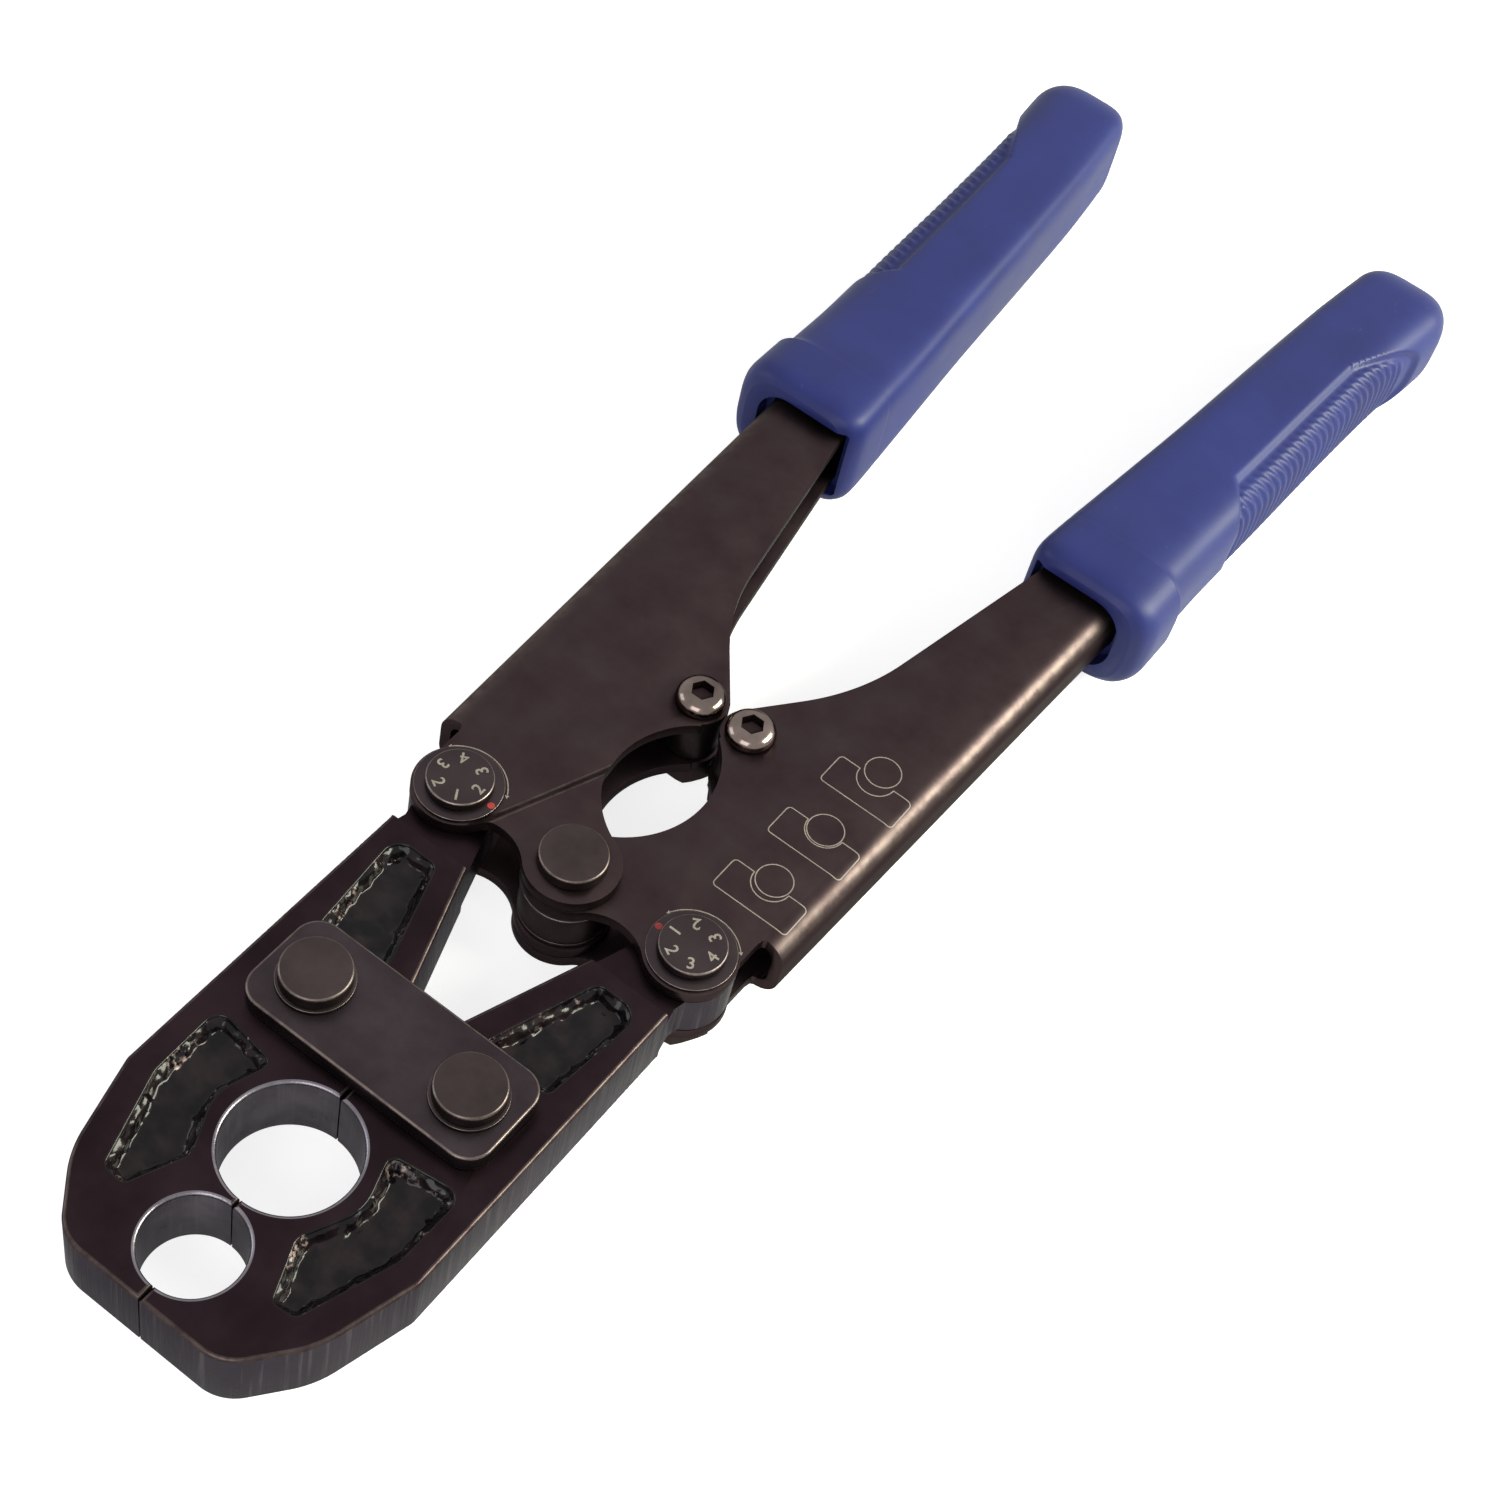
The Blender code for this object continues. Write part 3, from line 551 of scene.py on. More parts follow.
finishes = {
    "sheet": darkSteel("blackenedSheet", (0.036, 0.022, 0.025), (0.049, 0.034, 0.035), (0.34, 0.42), 0.8),
    "plate": darkSteel(
        "blackenedPlate", (0.035, 0.026, 0.030), (0.055, 0.043, 0.047), (0.32, 0.42), 0.8, bump=0.4
    ),
    "jawFace": darkSteel(
        "lacqueredFace", (0.014, 0.008, 0.010), (0.026, 0.015, 0.018), (0.28, 0.40), 0.28,
        metallic=0.9, bump=0.35, cloudScale=60.0
    ),
    "jawWall": darkSteel(
        "broachedWall", (0.034, 0.028, 0.038), (0.058, 0.048, 0.062), (0.30, 0.42), 0.22,
        wearSheenColour=(0.13, 0.11, 0.12), metallic=0.9, bump=0.9, cloudScale=45.0, marks=0.5, rim=0.5
    ),
    "pin": darkSteel(
        "blackenedPins", (0.043, 0.032, 0.032), (0.064, 0.049, 0.048), (0.32, 0.44), 0.42,
        wearSheenColour=(0.24, 0.20, 0.18)
    ),
    "dial": darkSteel(
        "dialSteel", (0.040, 0.029, 0.032), (0.054, 0.041, 0.044), (0.34, 0.42), 0.8,
        wearSheenColour=(0.24, 0.20, 0.18)
    ),
    "screw": darkSteel(
        "gunmetal", (0.12, 0.094, 0.084), (0.25, 0.195, 0.172), (0.12, 0.22), 0.5,
        wearSheenColour=(0.4, 0.34, 0.3), metallic=1.0
    ),
    "bore": darkSteel(
        "reamedSteel", (0.13, 0.118, 0.135), (0.20, 0.185, 0.205), (0.26, 0.38), 0.25,
        wearSheenColour=(0.5, 0.48, 0.48), metallic=1.0, bump=0.3, cloudScale=160.0, marks=0.06
    ),
    "pocket": pocketLacquer(),
    "grip": bluePlastic(),
    "etched": markPaint("etchedMark", (0.19, 0.16, 0.14), (0.30, 0.26, 0.23), (0.55, 0.65)),
    "red": markPaint("redPaint", (0.34, 0.028, 0.022), (0.46, 0.045, 0.033), (0.35, 0.45)),
}
print("finishes ready")


# Jaws
jaw = {
    "halfWidth": 31.6,
    "noseLength": 30.3,
    "noseShoulder": (5.0, 12.0),  # inwards from the side, back from the nose
    "noseFlatHalf": 17.0,
    "noseRounding": (9.0, 20.0, 4.0),
    "markSpacing": 0.4,
    "markDepth": (0.02, 0.17),  # at the nose and at the tail
    "markGrowth": 1.5,
    "markWave": 1.7,
    "edge": 0.7,
    "smallDie": (8.95, 12.3),  # radius, distance of its centre from the nose
    "largeDie": (12.1, 35.3),
    "seamEnd": 57.2,  # from the nose
    "armSlope": 19.2,
    "tailStep": 12.3,
    "tailRadius": 8.8,
    "tailHalf": 4.7,
    # The step down to the tail: in from the side and back, the boss's arc, and where the arm leaves it
    "tailShoulder": (0.7, 3.2),
    "tailArc": (-58.0, 188.0),
    "armRunOut": 1.5,
    # Corners as x, distance and rounding: the arm's from the pivot, the cheek's from the nose
    "armPocket": [(10.9, 38.5, 1.5), (25.4, 38.5, 1.5), (27.6, 15.6, 3.4), (18.6, 15.6, 2.0)],
    "cheekPocket": [
        (13.2, 44.9, 1.5), (16.6, 34.5, 9.0), (11.6, 23.9, 3.0), (16.0, 13.3, 1.5), (20.3, 13.5, 2.0),
        (26.3, 31.5, 6.0), (26.6, 46.9, 2.5),
    ],
    "pocketSpacing": 0.7,
    "pocketMouth": (0.3, 1.0),  # how far its cutter flares and stands over the face
    "pocketDepth": 2.6,
    "pocketDraft": 1.1,
    "pocketLip": 0.45,
    "lipReach": 0.9,
    "wallShares": (0.35, 0.6, 0.8),
    "pocketFloor": 0.9,  # fillet between a pocket's wall and its floor
    "lumps": 0.45,
    "lumpScale": 0.5,
    "lumpGrid": 0.9,
    "lumpsBelow": 0.2,  # under the lip
    # The upward part of a normal, at most: on the outer walls, and where a pocket's wall gets painted
    # glints
    "wallTilt": 0.1,
    "glintTilt": 0.85,
    "camRoom": 4.4,
    "swing": 60.0,
    "pinHole": 4.8,
}
noseAhead = -(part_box("jaw_right")[0].y - toolOrigin.y) / mm


def broachedSide(low, high):
    # The outer wall between two places, waved in and out by its tool marks
    shallow, deep = jaw["markDepth"]
    count = round((high - low) / jaw["markSpacing"])
    points = []
    for k in range(1, count):
        y = low + (high - low) * k / count
        depth = shallow + (deep - shallow) * (k / count) ** jaw["markGrowth"]
        wave = 0.5 + 0.5 * noise.noise(Vector((y * jaw["markWave"], 3.0, 7.0)))
        points.append((jaw["halfWidth"] - depth * wave, y))
    return points


def jawOutline():
    seam = gap / 2
    tip = (seam, -noseAhead)
    flatEnd = (jaw["noseFlatHalf"], -noseAhead)
    inwards, back = jaw["noseShoulder"]
    shoulder = (jaw["halfWidth"] - inwards, back - noseAhead)
    hip = (jaw["halfWidth"], jaw["noseLength"] - noseAhead)
    sideEnd = (jaw["halfWidth"], -jaw["tailStep"])
    radii = jaw["noseRounding"]
    nose = [tip] + roundedCorner(tip, flatEnd, shoulder, radii[0], 16)
    nose += roundedCorner(flatEnd, shoulder, hip, radii[1], 14)
    nose += roundedCorner(shoulder, hip, sideEnd, radii[2], 8)
    nose += broachedSide(nose[-1][1], sideEnd[1])
    slope = tan(radians(jaw["armSlope"]))
    seamEnd = jaw["seamEnd"] - noseAhead
    step = -jaw["tailStep"]
    inwards, back = jaw["tailShoulder"]
    outline = nose + [sideEnd, (jaw["halfWidth"] - inwards, step + back)]
    outline += arc(dialPin, jaw["tailRadius"], *jaw["tailArc"], 48)
    armEnd = step - jaw["armRunOut"]
    outline += [(seam + (armEnd - seamEnd) * slope, armEnd), (seam, seamEnd)]
    bores = []
    for radius, back in (jaw["largeDie"], jaw["smallDie"]):
        lean = degrees(acos(seam / radius))
        start = len(outline)
        outline += arc((0, back - noseAhead), radius, lean, -lean, 56)
        bores.append((start, len(outline) - 1))
    return outline, bores


def pocketOutlines():
    arm = [(x, -ahead, radius) for x, ahead, radius in jaw["armPocket"]]
    cheek = [(x, back - noseAhead, radius) for x, back, radius in jaw["cheekPocket"]]
    return [evenly(roundedPolygon(corners, 8), jaw["pocketSpacing"]) for corners in (arm, cheek)]


def lump(point):
    # How far the forged skin swells at a place, in each direction
    here = point * jaw["lumpScale"]
    swell = [noise.noise(here + Vector(offset)) for offset in ((0, 0, 0), (31, 7, 3), (5, 41, 9))]
    return Vector(swell) * jaw["lumps"]


def pocketRows():
    # How far each row of a pocket's cutter lies inside its outline, and its height over the face
    depth = jaw["pocketDepth"]
    draft = jaw["pocketDraft"]
    lip = jaw["pocketLip"]
    fillet = jaw["pocketFloor"]
    flare, mouth = jaw["pocketMouth"]
    rows = [(-lip - flare, mouth), (-lip, 0.0)]
    steps = 4
    for i in range(1, steps + 1):
        a = pi / 2 * i / steps
        rows.append((-lip + lip * sin(a) * jaw["lipReach"], -lip * (1 - cos(a))))
    for share in jaw["wallShares"]:
        rows.append((draft * share, -lip - (depth - lip - fillet) * share))
    steps = 5
    for i in range(1, steps + 1):
        a = pi / 2 * i / steps
        rows.append((draft + fillet * (1 - cos(a)), -depth + fillet * (1 - sin(a))))
    return rows


def pocketCutter(outline, face):
    # A forged hollow with a rounded lip, a drafted wall, a filleted floor and a lumpy skin
    shape = linked([level(inset(outline, inward), jawTop + z) for inward, z in pocketRows()])
    for axis in (0, 1):
        normal = Vector((1 - axis, axis, 0))
        low = min(point[axis] for point in outline)
        high = max(point[axis] for point in outline)
        count = round((high - low) / jaw["lumpGrid"])
        for k in range(1, count):
            parts = shape.verts[:] + shape.edges[:] + shape.faces[:]
            place = normal * (low + (high - low) * k / count)
            bmesh.ops.bisect_plane(shape, geom=parts, plane_co=place, plane_no=normal, dist=1e-4)
    bmesh.ops.triangulate(shape, faces=shape.faces[:])
    for vert in shape.verts:
        if vert.co.z < jawTop - jaw["pocketLip"] - jaw["lumpsBelow"]:
            vert.co += lump(vert.co)
        vert.co.z *= face
    return shape


def linkageAt(swing):
    # Jaw turn and forward travel of the pivot for one handle swing
    arm = hypot(*dialPin)
    rest = atan2(dialPin[1], dialPin[0])
    tail = (dialPin[0] - linkPin[0], dialPin[1] - linkPin[1])
    across = arm * cos(rest - swing)
    turn = atan2(tail[0], tail[1]) - (pi / 2 - acos((across - linkPin[0]) / hypot(*tail)))
    return turn, linkPin[1] + turned(tail, turn)[1] - arm * sin(rest - swing)


def driftSlot():
    # The tail's bore, widened along the path that the dial pin takes in it
    swing = radians(jaw["swing"])
    fullTurn, fullTravel = linkageAt(swing)
    points = []
    steps = 12
    for i in range(steps + 1):
        share = i / steps
        held = turned(dialPin, -swing * share)
        held = (held[0] - linkPin[0], held[1] + fullTravel * share - linkPin[1])
        inJaw = turned(held, -fullTurn * share)
        points += circle((inJaw[0] + linkPin[0], inJaw[1] + linkPin[1]), jaw["camRoom"], 40)
    return hull([(round(x, 4), round(y, 4)) for x, y in points])


def buildJaw(word, side):
    outline, bores = jawOutline()

    def inBore(i):
        return int(any(start <= i < end for start, end in bores))

    turn = None if side > 0 else mirrorX
    shape = prism(outline, -jawTop, jawTop, jaw["edge"], paint=inBore)
    obj = blank("jaw_body_" + word, shape, [finishes["jawFace"], finishes["bore"]], turn)
    front = -jaw["tailStep"]
    wide = dialPin[0] + jaw["tailRadius"] + over
    rear = dialPin[1] + jaw["tailRadius"] + over
    slab = [(-over, front), (wide, front), (wide, rear), (-over, rear)]
    above = prism(slab, jaw["tailHalf"], jawTop + over)
    carve(obj, [above, prism(slab, -jawTop - over, -jaw["tailHalf"])], turn)
    for pocket in pocketOutlines():
        carve(obj, [pocketCutter(pocket, face) for face in (1, -1)], turn, finishes["pocket"])
    pinHole = prism(circle(linkPin, jaw["pinHole"], 64), -jawTop - over, jawTop + over)
    carve(obj, [pinHole, prism(driftSlot(), -jawTop, jawTop)], turn)
    wall = len(obj.data.materials)
    obj.data.materials.append(finishes["jawWall"])
    for polygon in obj.data.polygons:
        if polygon.material_index == 0 and abs(polygon.normal.z) < jaw["wallTilt"]:
            polygon.material_index = wall
    pocketSlot = obj.data.materials.find(finishes["pocket"].name)

    # Pockets' walls are marked for painted glints, other faces for worn edges
    def wearAndGlints(face):
        if face.material_index == pocketSlot:
            return abs(face.normal.z) < jaw["glintTilt"]
        return slanted(face)

    finish(obj, "jaw_" + word, ["jaw_" + word], 28, wearAndGlints)


for word, side in sides:
    buildJaw(word, side)
print("jaws ready")


# Link plates, their pins, washers and rings
link = {
    "plate": (52.4, 21.0, 5.0, 0.2),  # length, width, corner, set back
    "plateEdge": 0.45,
    "hole": 4.8,
    "pin": 4.5,
    "head": 6.5,
    "headHeight": 2.8,
    "rim": 0.55,
    "ringRim": 0.4,
}
pinTip = 0.5  # chamfer of a pin's lower end
headEase = 0.15  # chamfer under a pin's head


def plateShape(low, high):
    length, width, corner, back = link["plate"]
    front = linkPin[1] - width / 2 + back
    outline = rectangle(-length / 2, front, length / 2, front + width, (corner, corner), 14)
    return prism(outline, low, high, link["plateEdge"])


def headedPin(node, centre, size):
    # A pin with a chamfered tip below and a head whose rim is rounded
    low, high = levelsOf(node)
    base = high - size["headHeight"]
    profile = [(low, size["pin"] - pinTip), (low + pinTip, size["pin"]), (base, size["pin"])]
    profile += [(base, size["head"] - headEase), (base + headEase, size["head"])]
    return lathe(centre, profile + roundEdge(high, size["head"], size["rim"], 1))


def plainRing(node, name, bore, body, rim=0.1, material=finishes["pin"]):
    # A washer, ring or sleeve at the place and size of its solid
    low, high = levelsOf(node)
    radius = radiusOf(node)
    profile = roundEdge(low, radius, rim, -1, 3) + roundEdge(high, radius, rim, 1, 3)
    piece(name, lathe(planOf(node), profile, bore=bore), material, body, [node])


for name in ("top", "bottom"):
    low, high = levelsOf("link_plate_" + name)
    plate = blank("link_bar_" + name, plateShape(low, high), [finishes["plate"]])
    for word, side in sides:
        hole = circle(sided(linkPin, side), link["hole"], 64)
        carve(plate, [prism(hole, low - over, high + over)])
    finish(plate, "link", ["link_plate_" + name])

for word, side in sides:
    pin = headedPin("link_pin_" + word, sided(linkPin, side), link)
    piece("link_bolt_" + word, pin, finishes["pin"], "link", ["link_pin_" + word])
    plainRing("link_washer_" + word, "link_bolt_washer_" + word, link["hole"], "link")
    plainRing("link_ring_" + word, "link_bolt_ring_" + word, link["hole"], "link", link["ringRim"])
print("link ready")


# Handles, folded from sheet
handle = {
    "sheet": 2.5,
    "bend": 5.0,
    "webStart": 12.0,
    "webOffsets": (40.0, 44.0, 48.6),  # at the web's start, at the grip's mouth and at the end
    "mouth": 130.0,
    "end": 222.0,
    "inner": (26.6, 32.0),  # inner edge at the grip's mouth and at the end
    "innerBend": (15.9, 70.5, 50.0),  # place and radius
    "tab": 5.75,
    "pivotLobe": 9.1,
    "dialLobe": 8.9,
    "dialLobeEnd": 28.0,
    "frontFillet": 9.8,
    "window": (-10.9, 27.2, 20.2),  # centre and radius
    "windowTrim": 1.0,  # degrees left out at both ends of the window's arc
    # Where the fold starts: its notch, aside and ahead of the corner, its rounding and its hollow's slope
    "notch": [(-0.3, 1.6), (0.0, 0.3), (0.6, 0.0)],
    "foldRunOut": 1.5,
    "hollowRunOut": 5.0,
    "hollowReach": (60.0, 40.0),  # of its cutter, inwards and forwards
    "holes": ((pivot, 4.9, 64), (dialPin, 4.7, 64), (stopScrew, 3.3, 48)),  # place, radius and steps
    "joggle": (20.9, 15.4, 3.2),  # angle, distance and run
    "rampStraight": 0.35,  # how much of the joggle's ramp is straight, not eased
    "edge": 0.24,
    "edgeAngle": 42.0,
    # A painted highlight that lightens the joggle's ramp
    "rampPaintedSheen": (30.0, 0.5, 0.5),  # within this of the pivot, at least this flat, so much
    # Worn steel along the bend's crest, placed and tuned where the lamp's highlight falls: partly wear,
    # partly painted highlight
    "bendWearAndSheen": (0.7, 0.7, 0.3),  # at most, at this tilt, and how soon it fades
}


def webAt(y):
    start, mouth, end = handle["webStart"], handle["mouth"], handle["end"]
    first, second, third = handle["webOffsets"]
    if y < mouth:
        return first + (second - first) * (y - start) / (mouth - start)
    return second + (third - second) * (y - mouth) / (end - mouth)


def innerEdgeAt(y):
    bendX, bendY, _ = handle["innerBend"]
    atMouth, atEnd = handle["inner"]
    mouth, end = handle["mouth"], handle["end"]
    if y < mouth:
        return bendX + (atMouth - bendX) * (y - bendY) / (mouth - bendY)
    return atMouth + (atEnd - atMouth) * (y - mouth) / (end - mouth)


def plateOutline():
    span = hypot(*dialPin)
    toPivot = handle["pivotLobe"] + handle["frontFillet"]
    toDial = handle["dialLobe"] + handle["frontFillet"]
    along = (span * span + toPivot * toPivot - toDial * toDial) / (2 * span)
    drop = sqrt(toPivot * toPivot - along * along)
    lean = atan2(dialPin[1], dialPin[0])
    fillet = (along * cos(lean) + drop * sin(lean), along * sin(lean) - drop * cos(lean))
    fromPivot = degrees(atan2(fillet[1], fillet[0]))
    fromDial = degrees(atan2(fillet[1] - dialPin[1], fillet[0] - dialPin[0]))
    windowX, windowY, windowRadius = handle["window"]
    fromWindow = degrees(atan2(windowY, windowX))
    toTab = degrees(atan2(stopScrew[1] - windowY, stopScrew[0] - windowX))
    bendX, bendY, bendRadius = handle["innerBend"]
    bend = Vector((bendX, bendY))
    toBend = bend - Vector(stopScrew)
    tabLean = atan2(toBend.y, toBend.x) + acos(handle["tab"] / toBend.length)
    touch = Vector(stopScrew) + Vector((cos(tabLean), sin(tabLean))) * handle["tab"]
    innerCurve = roundedCorner((handle["inner"][0], handle["mouth"]), bend, touch, bendRadius, 24)
    webStart, mouth, end = handle["webStart"], handle["mouth"], handle["end"]
    topEdge = webAt(webStart) - handle["bend"]
    outline = arc(pivot, handle["pivotLobe"], fromWindow, 360 + fromPivot, 56)
    outline += arc(fillet, handle["frontFillet"], 180 + fromPivot, 180 + fromDial, 20)
    outline += arc(dialPin, handle["dialLobe"], fromDial, handle["dialLobeEnd"], 40)
    outline += [(topEdge + aside, webStart - ahead) for aside, ahead in handle["notch"]]
    outline += [(webAt(y), y) for y in (webStart, mouth, end)]
    outline += [(handle["inner"][1], end), (handle["inner"][0], mouth)] + innerCurve
    outline += arc(stopScrew, handle["tab"], degrees(tabLean), 180 + toTab, 22)
    trim = handle["windowTrim"]
    outline += arc((windowX, windowY), windowRadius, toTab - trim, fromWindow - 180 + trim, 44)
    return outline


def bendCutter(face):
    # Rounds the web's edge towards one sheet
    layers = []
    for y in (handle["webStart"] - handle["foldRunOut"], handle["mouth"], handle["end"] + over):
        web = webAt(y)
        centre = (web - handle["bend"], handleTop - handle["bend"])
        ring = [(centre[0], handleTop + over), (web + over, handleTop + over), (web + over, centre[1])]
        ring += arc(centre, handle["bend"], 0, 90, 20)
        layers.append([(x, y, face * z) for x, z in ring])
    return linked(layers)


def hollowShape():
    # The space between the sheets, rounded where they meet the web
    inside = handleTop - handle["sheet"]
    radius = handle["bend"] - handle["sheet"]
    aside, ahead = handle["hollowReach"]
    ends = [-ahead, handle["webStart"] - handle["hollowRunOut"], handle["mouth"], handle["end"] + over]
    steps = 8
    levels = []
    for face in (-1, 1):
        for i in range(steps + 1):
            a = pi / 2 * (1 - i / steps)
            levels.append((face * (inside - radius * (1 - cos(a))), radius * (1 - sin(a))))
    layers = []
    for z, inwards in sorted(levels):
        edge = [(webAt(max(y, handle["webStart"])) - handle["sheet"] - inwards, y, z) for y in ends]
        layers.append([(-aside, ends[0], z)] + edge + [(-aside, ends[-1], z)])
    return linked(layers)


def joggle(mesh, face):
    # Steps one sheet outwards round the pivot, with both bends of the ramp eased
    angle, distance, run = handle["joggle"]
    straight = handle["rampStraight"]
    rise = handle["sheet"] + gap
    shape = bmesh.new()
    shape.from_mesh(mesh)
    normal = Vector((cos(radians(angle)), sin(radians(angle)), 0))
    cuts = 8
    for i in range(cuts + 1):
        along = distance + run * (0.5 - i / cuts)
        parts = shape.verts[:] + shape.edges[:] + shape.faces[:]
        place = toolOrigin + normal * along * mm
        bmesh.ops.bisect_plane(shape, geom=parts, plane_co=place, plane_no=normal, dist=1e-7)
    for vert in shape.verts:
        place = (vert.co - toolOrigin) / mm
        share = min(1.0, max(0.0, (distance + run / 2 - place.dot(normal)) / run))
        if place.z * face > 0:
            vert.co.z += face * rise * mm * (straight * share + (1 - straight) * eased(share, 0, 1))
    shape.to_mesh(mesh)
    shape.free()


def buildHandles():
    right = blank("channel_right", prism(plateOutline(), -handleTop, handleTop), [finishes["sheet"]])
    carve(right, [bendCutter(1), bendCutter(-1), hollowShape()])
    reach = handleTop + over
    carve(right, [prism(circle(*hole), -reach, reach) for hole in handle["holes"]])
    joggle(right.data, -1)
    # The same finish again, so that the wear and the painted highlights can tell the bevelled edges
    right.data.materials.append(finishes["sheet"])
    bevel = right.modifiers.new("Edges", "BEVEL")
    bevel.width = handle["edge"] * mm
    bevel.segments = 2
    bevel.limit_method = "ANGLE"
    bevel.angle_limit = radians(handle["edgeAngle"])
    bevel.material = 1
    settle(right)
    left = looseObject("channel_left", right.data.copy())
    about = Matrix.Translation(toolOrigin) @ halfTurn @ Matrix.Translation(-toolOrigin)
    left.data.transform(about)
    near, flattish, rampSheen = handle["rampPaintedSheen"]
    bendWearSheen, bendTilt, bendFade = handle["bendWearAndSheen"]

    # Worn bevels, a painted highlight on the joggle's ramp, and the bend's worn crest that is also a
    # painted highlight
    def handleWearAndSheen(face):
        tilt = abs(face.normal.z)
        place = (face.center - toolOrigin) / mm
        if face.material_index == 1:
            return 1.0
        if abs(place.y) < near and flattish < tilt < flatTilt:
            return rampSheen
        if abs(place.x) < webAt(place.y) - handle["bend"] or place.x * face.normal.x < 0:
            return 0.0
        return bendWearSheen * max(0.0, 1 - abs(tilt - bendTilt) / bendFade)

    for word, obj in (("left", left), ("right", right)):
        finish(obj, "handle_" + word, ["handle_" + word], wearAndSheen=handleWearAndSheen)


buildHandles()
print("handles ready")


# Grips
grip = {
    "sections": [  # distance from the mouth, inner face, outer face, half height
        (0.0, 25.4, 48.6, 11.2),
        (1.6, 23.0, 51.0, 12.8),
        (5.0, 21.6, 52.4, 13.5),
        (14.0, 22.2, 52.4, 13.35),
        (16.0, 22.4, 50.8, 13.25),
        (30.0, 23.6, 50.9, 12.4),
        (56.0, 26.0, 52.0, 11.9),
        (84.0, 28.2, 53.0, 11.8),
        (110.0, 30.4, 54.4, 11.9),
        (122.0, 31.8, 55.8, 12.0),
        (128.0, 32.6, 56.4, 12.0),
    ],
    # Where the rings of the collar stand, from the mouth
    "collar": (
        0, 0.25, 0.6, 1.0, 1.6, 2.3, 3.2, 4.2, 5.5, 7.5, 10, 12.5,
        13.6, 13.85, 14, 14.15, 14.4, 14.8, 15.3, 15.9,
    ),
    "bodyStart": 17.0,
    "spacing": (0.42, 2.0),  # of the rings behind it, in the panel and elsewhere
    "around": 112,
    "start": 122.5,
    "length": 141.0,
    "steepest": 2.5,  # of the curve between two rows, in straight slopes
    "endSteps": 18,
    "endTip": 0.05,  # the rounded end's smallest width and how flat it stays, as shares, and its lean
    "endFlatness": 0.12,
    "endLean": 0.05,
    "fullness": (3.2, 5.5),  # of the outer and the inner half
    "wall": 0.3,
    "coreCorner": 1.0,
    "mouthDepth": 4.0,
    "mouthRoom": 1.8,
    "collarEnd": 14.0,
    "panelFront": (163.0, 8.0),  # at mid height, and how much further back at its upper edge
    "panelRear": (244.0, 22.0),
    "panelWrap": 76.0,  # degrees round from the outer side
    "panelDepth": 1.1,
    # Slopes of the recess and of the ribs: start and end at the front edge, at the rear edge, and over the
    # wrap in shares
    "panelSlopes": (0.0, 1.2, -2.0, 0.4),
    "panelSide": (0.95, 1.03),
    "ribSlopes": (1.0, 2.2, -7.0, -4.0),
    "ribSide": (0.76, 0.90),
    "ribSharpness": 0.8,
    "ribPitch": 2.6,
    "ribHeight": 0.55,
    "ribBow": 4.5,
}


def sectionAt(at):
    # The section rows joined by a smooth curve
    rows = grip["sections"]
    last = len(rows) - 2
    k = next((k for k in range(last) if at <= rows[k + 1][0]), last)
    low, high = rows[k], rows[k + 1]
    before = rows[max(k - 1, 0)]
    after = rows[min(k + 2, len(rows) - 1)]
    span = high[0] - low[0]
    t = min(1.0, (at - low[0]) / span)
    if low[0] == grip["collarEnd"]:
        t = sin(pi / 2 * t)
        return [a + (b - a) * t for a, b in zip(low[1:], high[1:])]
    t2, t3 = t * t, t * t * t
    values = []
    for c in (1, 2, 3):
        rise = high[c] - low[c]
        steepest = grip["steepest"] * abs(rise) / span
        slopes = [(high[c] - before[c]) / (high[0] - before[0]), (after[c] - low[c]) / (after[0] - low[0])]
        slopes = [max(-steepest, min(steepest, slope)) if rise * slope > 0 else 0.0 for slope in slopes]
        values.append(
            (2 * t3 - 3 * t2 + 1) * low[c] + (t3 - 2 * t2 + t) * span * slopes[0]
            + (3 * t2 - 2 * t3) * high[c] + (t3 - t2) * span * slopes[1]
        )
    return values


def alongPanel(y, front, rear, slopes):
    # 1 along the panel, falling smoothly to 0 at both ends
    a, b, c, d = slopes
    return eased(y, front + a, front + b) * (1 - eased(y, rear + c, rear + d))


def panelSink(y, bearing):
    # How far the skin lies below the grip's plain side: the ribbed panel's recess and its ribs
    share = abs(bearing) / grip["panelWrap"]
    frontAt, frontSlant = grip["panelFront"]
    rearAt, rearSlant = grip["panelRear"]
    front = frontAt + frontSlant * share * share
    rear = rearAt - rearSlant * share * share
    inside = alongPanel(y, front, rear, grip["panelSlopes"]) * (1 - eased(share, *grip["panelSide"]))
    phase = (y - grip["ribBow"] * (1 - share * share)) / grip["ribPitch"]
    rib = (0.5 - 0.5 * cos(2 * pi * phase)) ** grip["ribSharpness"]
    ribbed = alongPanel(y, front, rear, grip["ribSlopes"]) * (1 - eased(share, *grip["ribSide"]))
    return inside * (grip["panelDepth"] - grip["ribHeight"] * rib * ribbed)


def gripStations():
    # Where the rings of the grip stand along it
    start = grip["start"]
    lastRow = grip["sections"][-1][0]
    inPanel, elsewhere = grip["spacing"]
    stations = [start + at for at in grip["collar"]]
    y = start + grip["bodyStart"]
    while y < start + lastRow:
        stations.append(y)
        y += inPanel if grip["panelFront"][0] - 1 < y < grip["panelRear"][0] + 1 else elsewhere
    cap = grip["length"] - lastRow
    steps = grip["endSteps"]
    return stations + [start + lastRow + cap * sin(pi / 2 * k / steps) for k in range(steps + 1)]


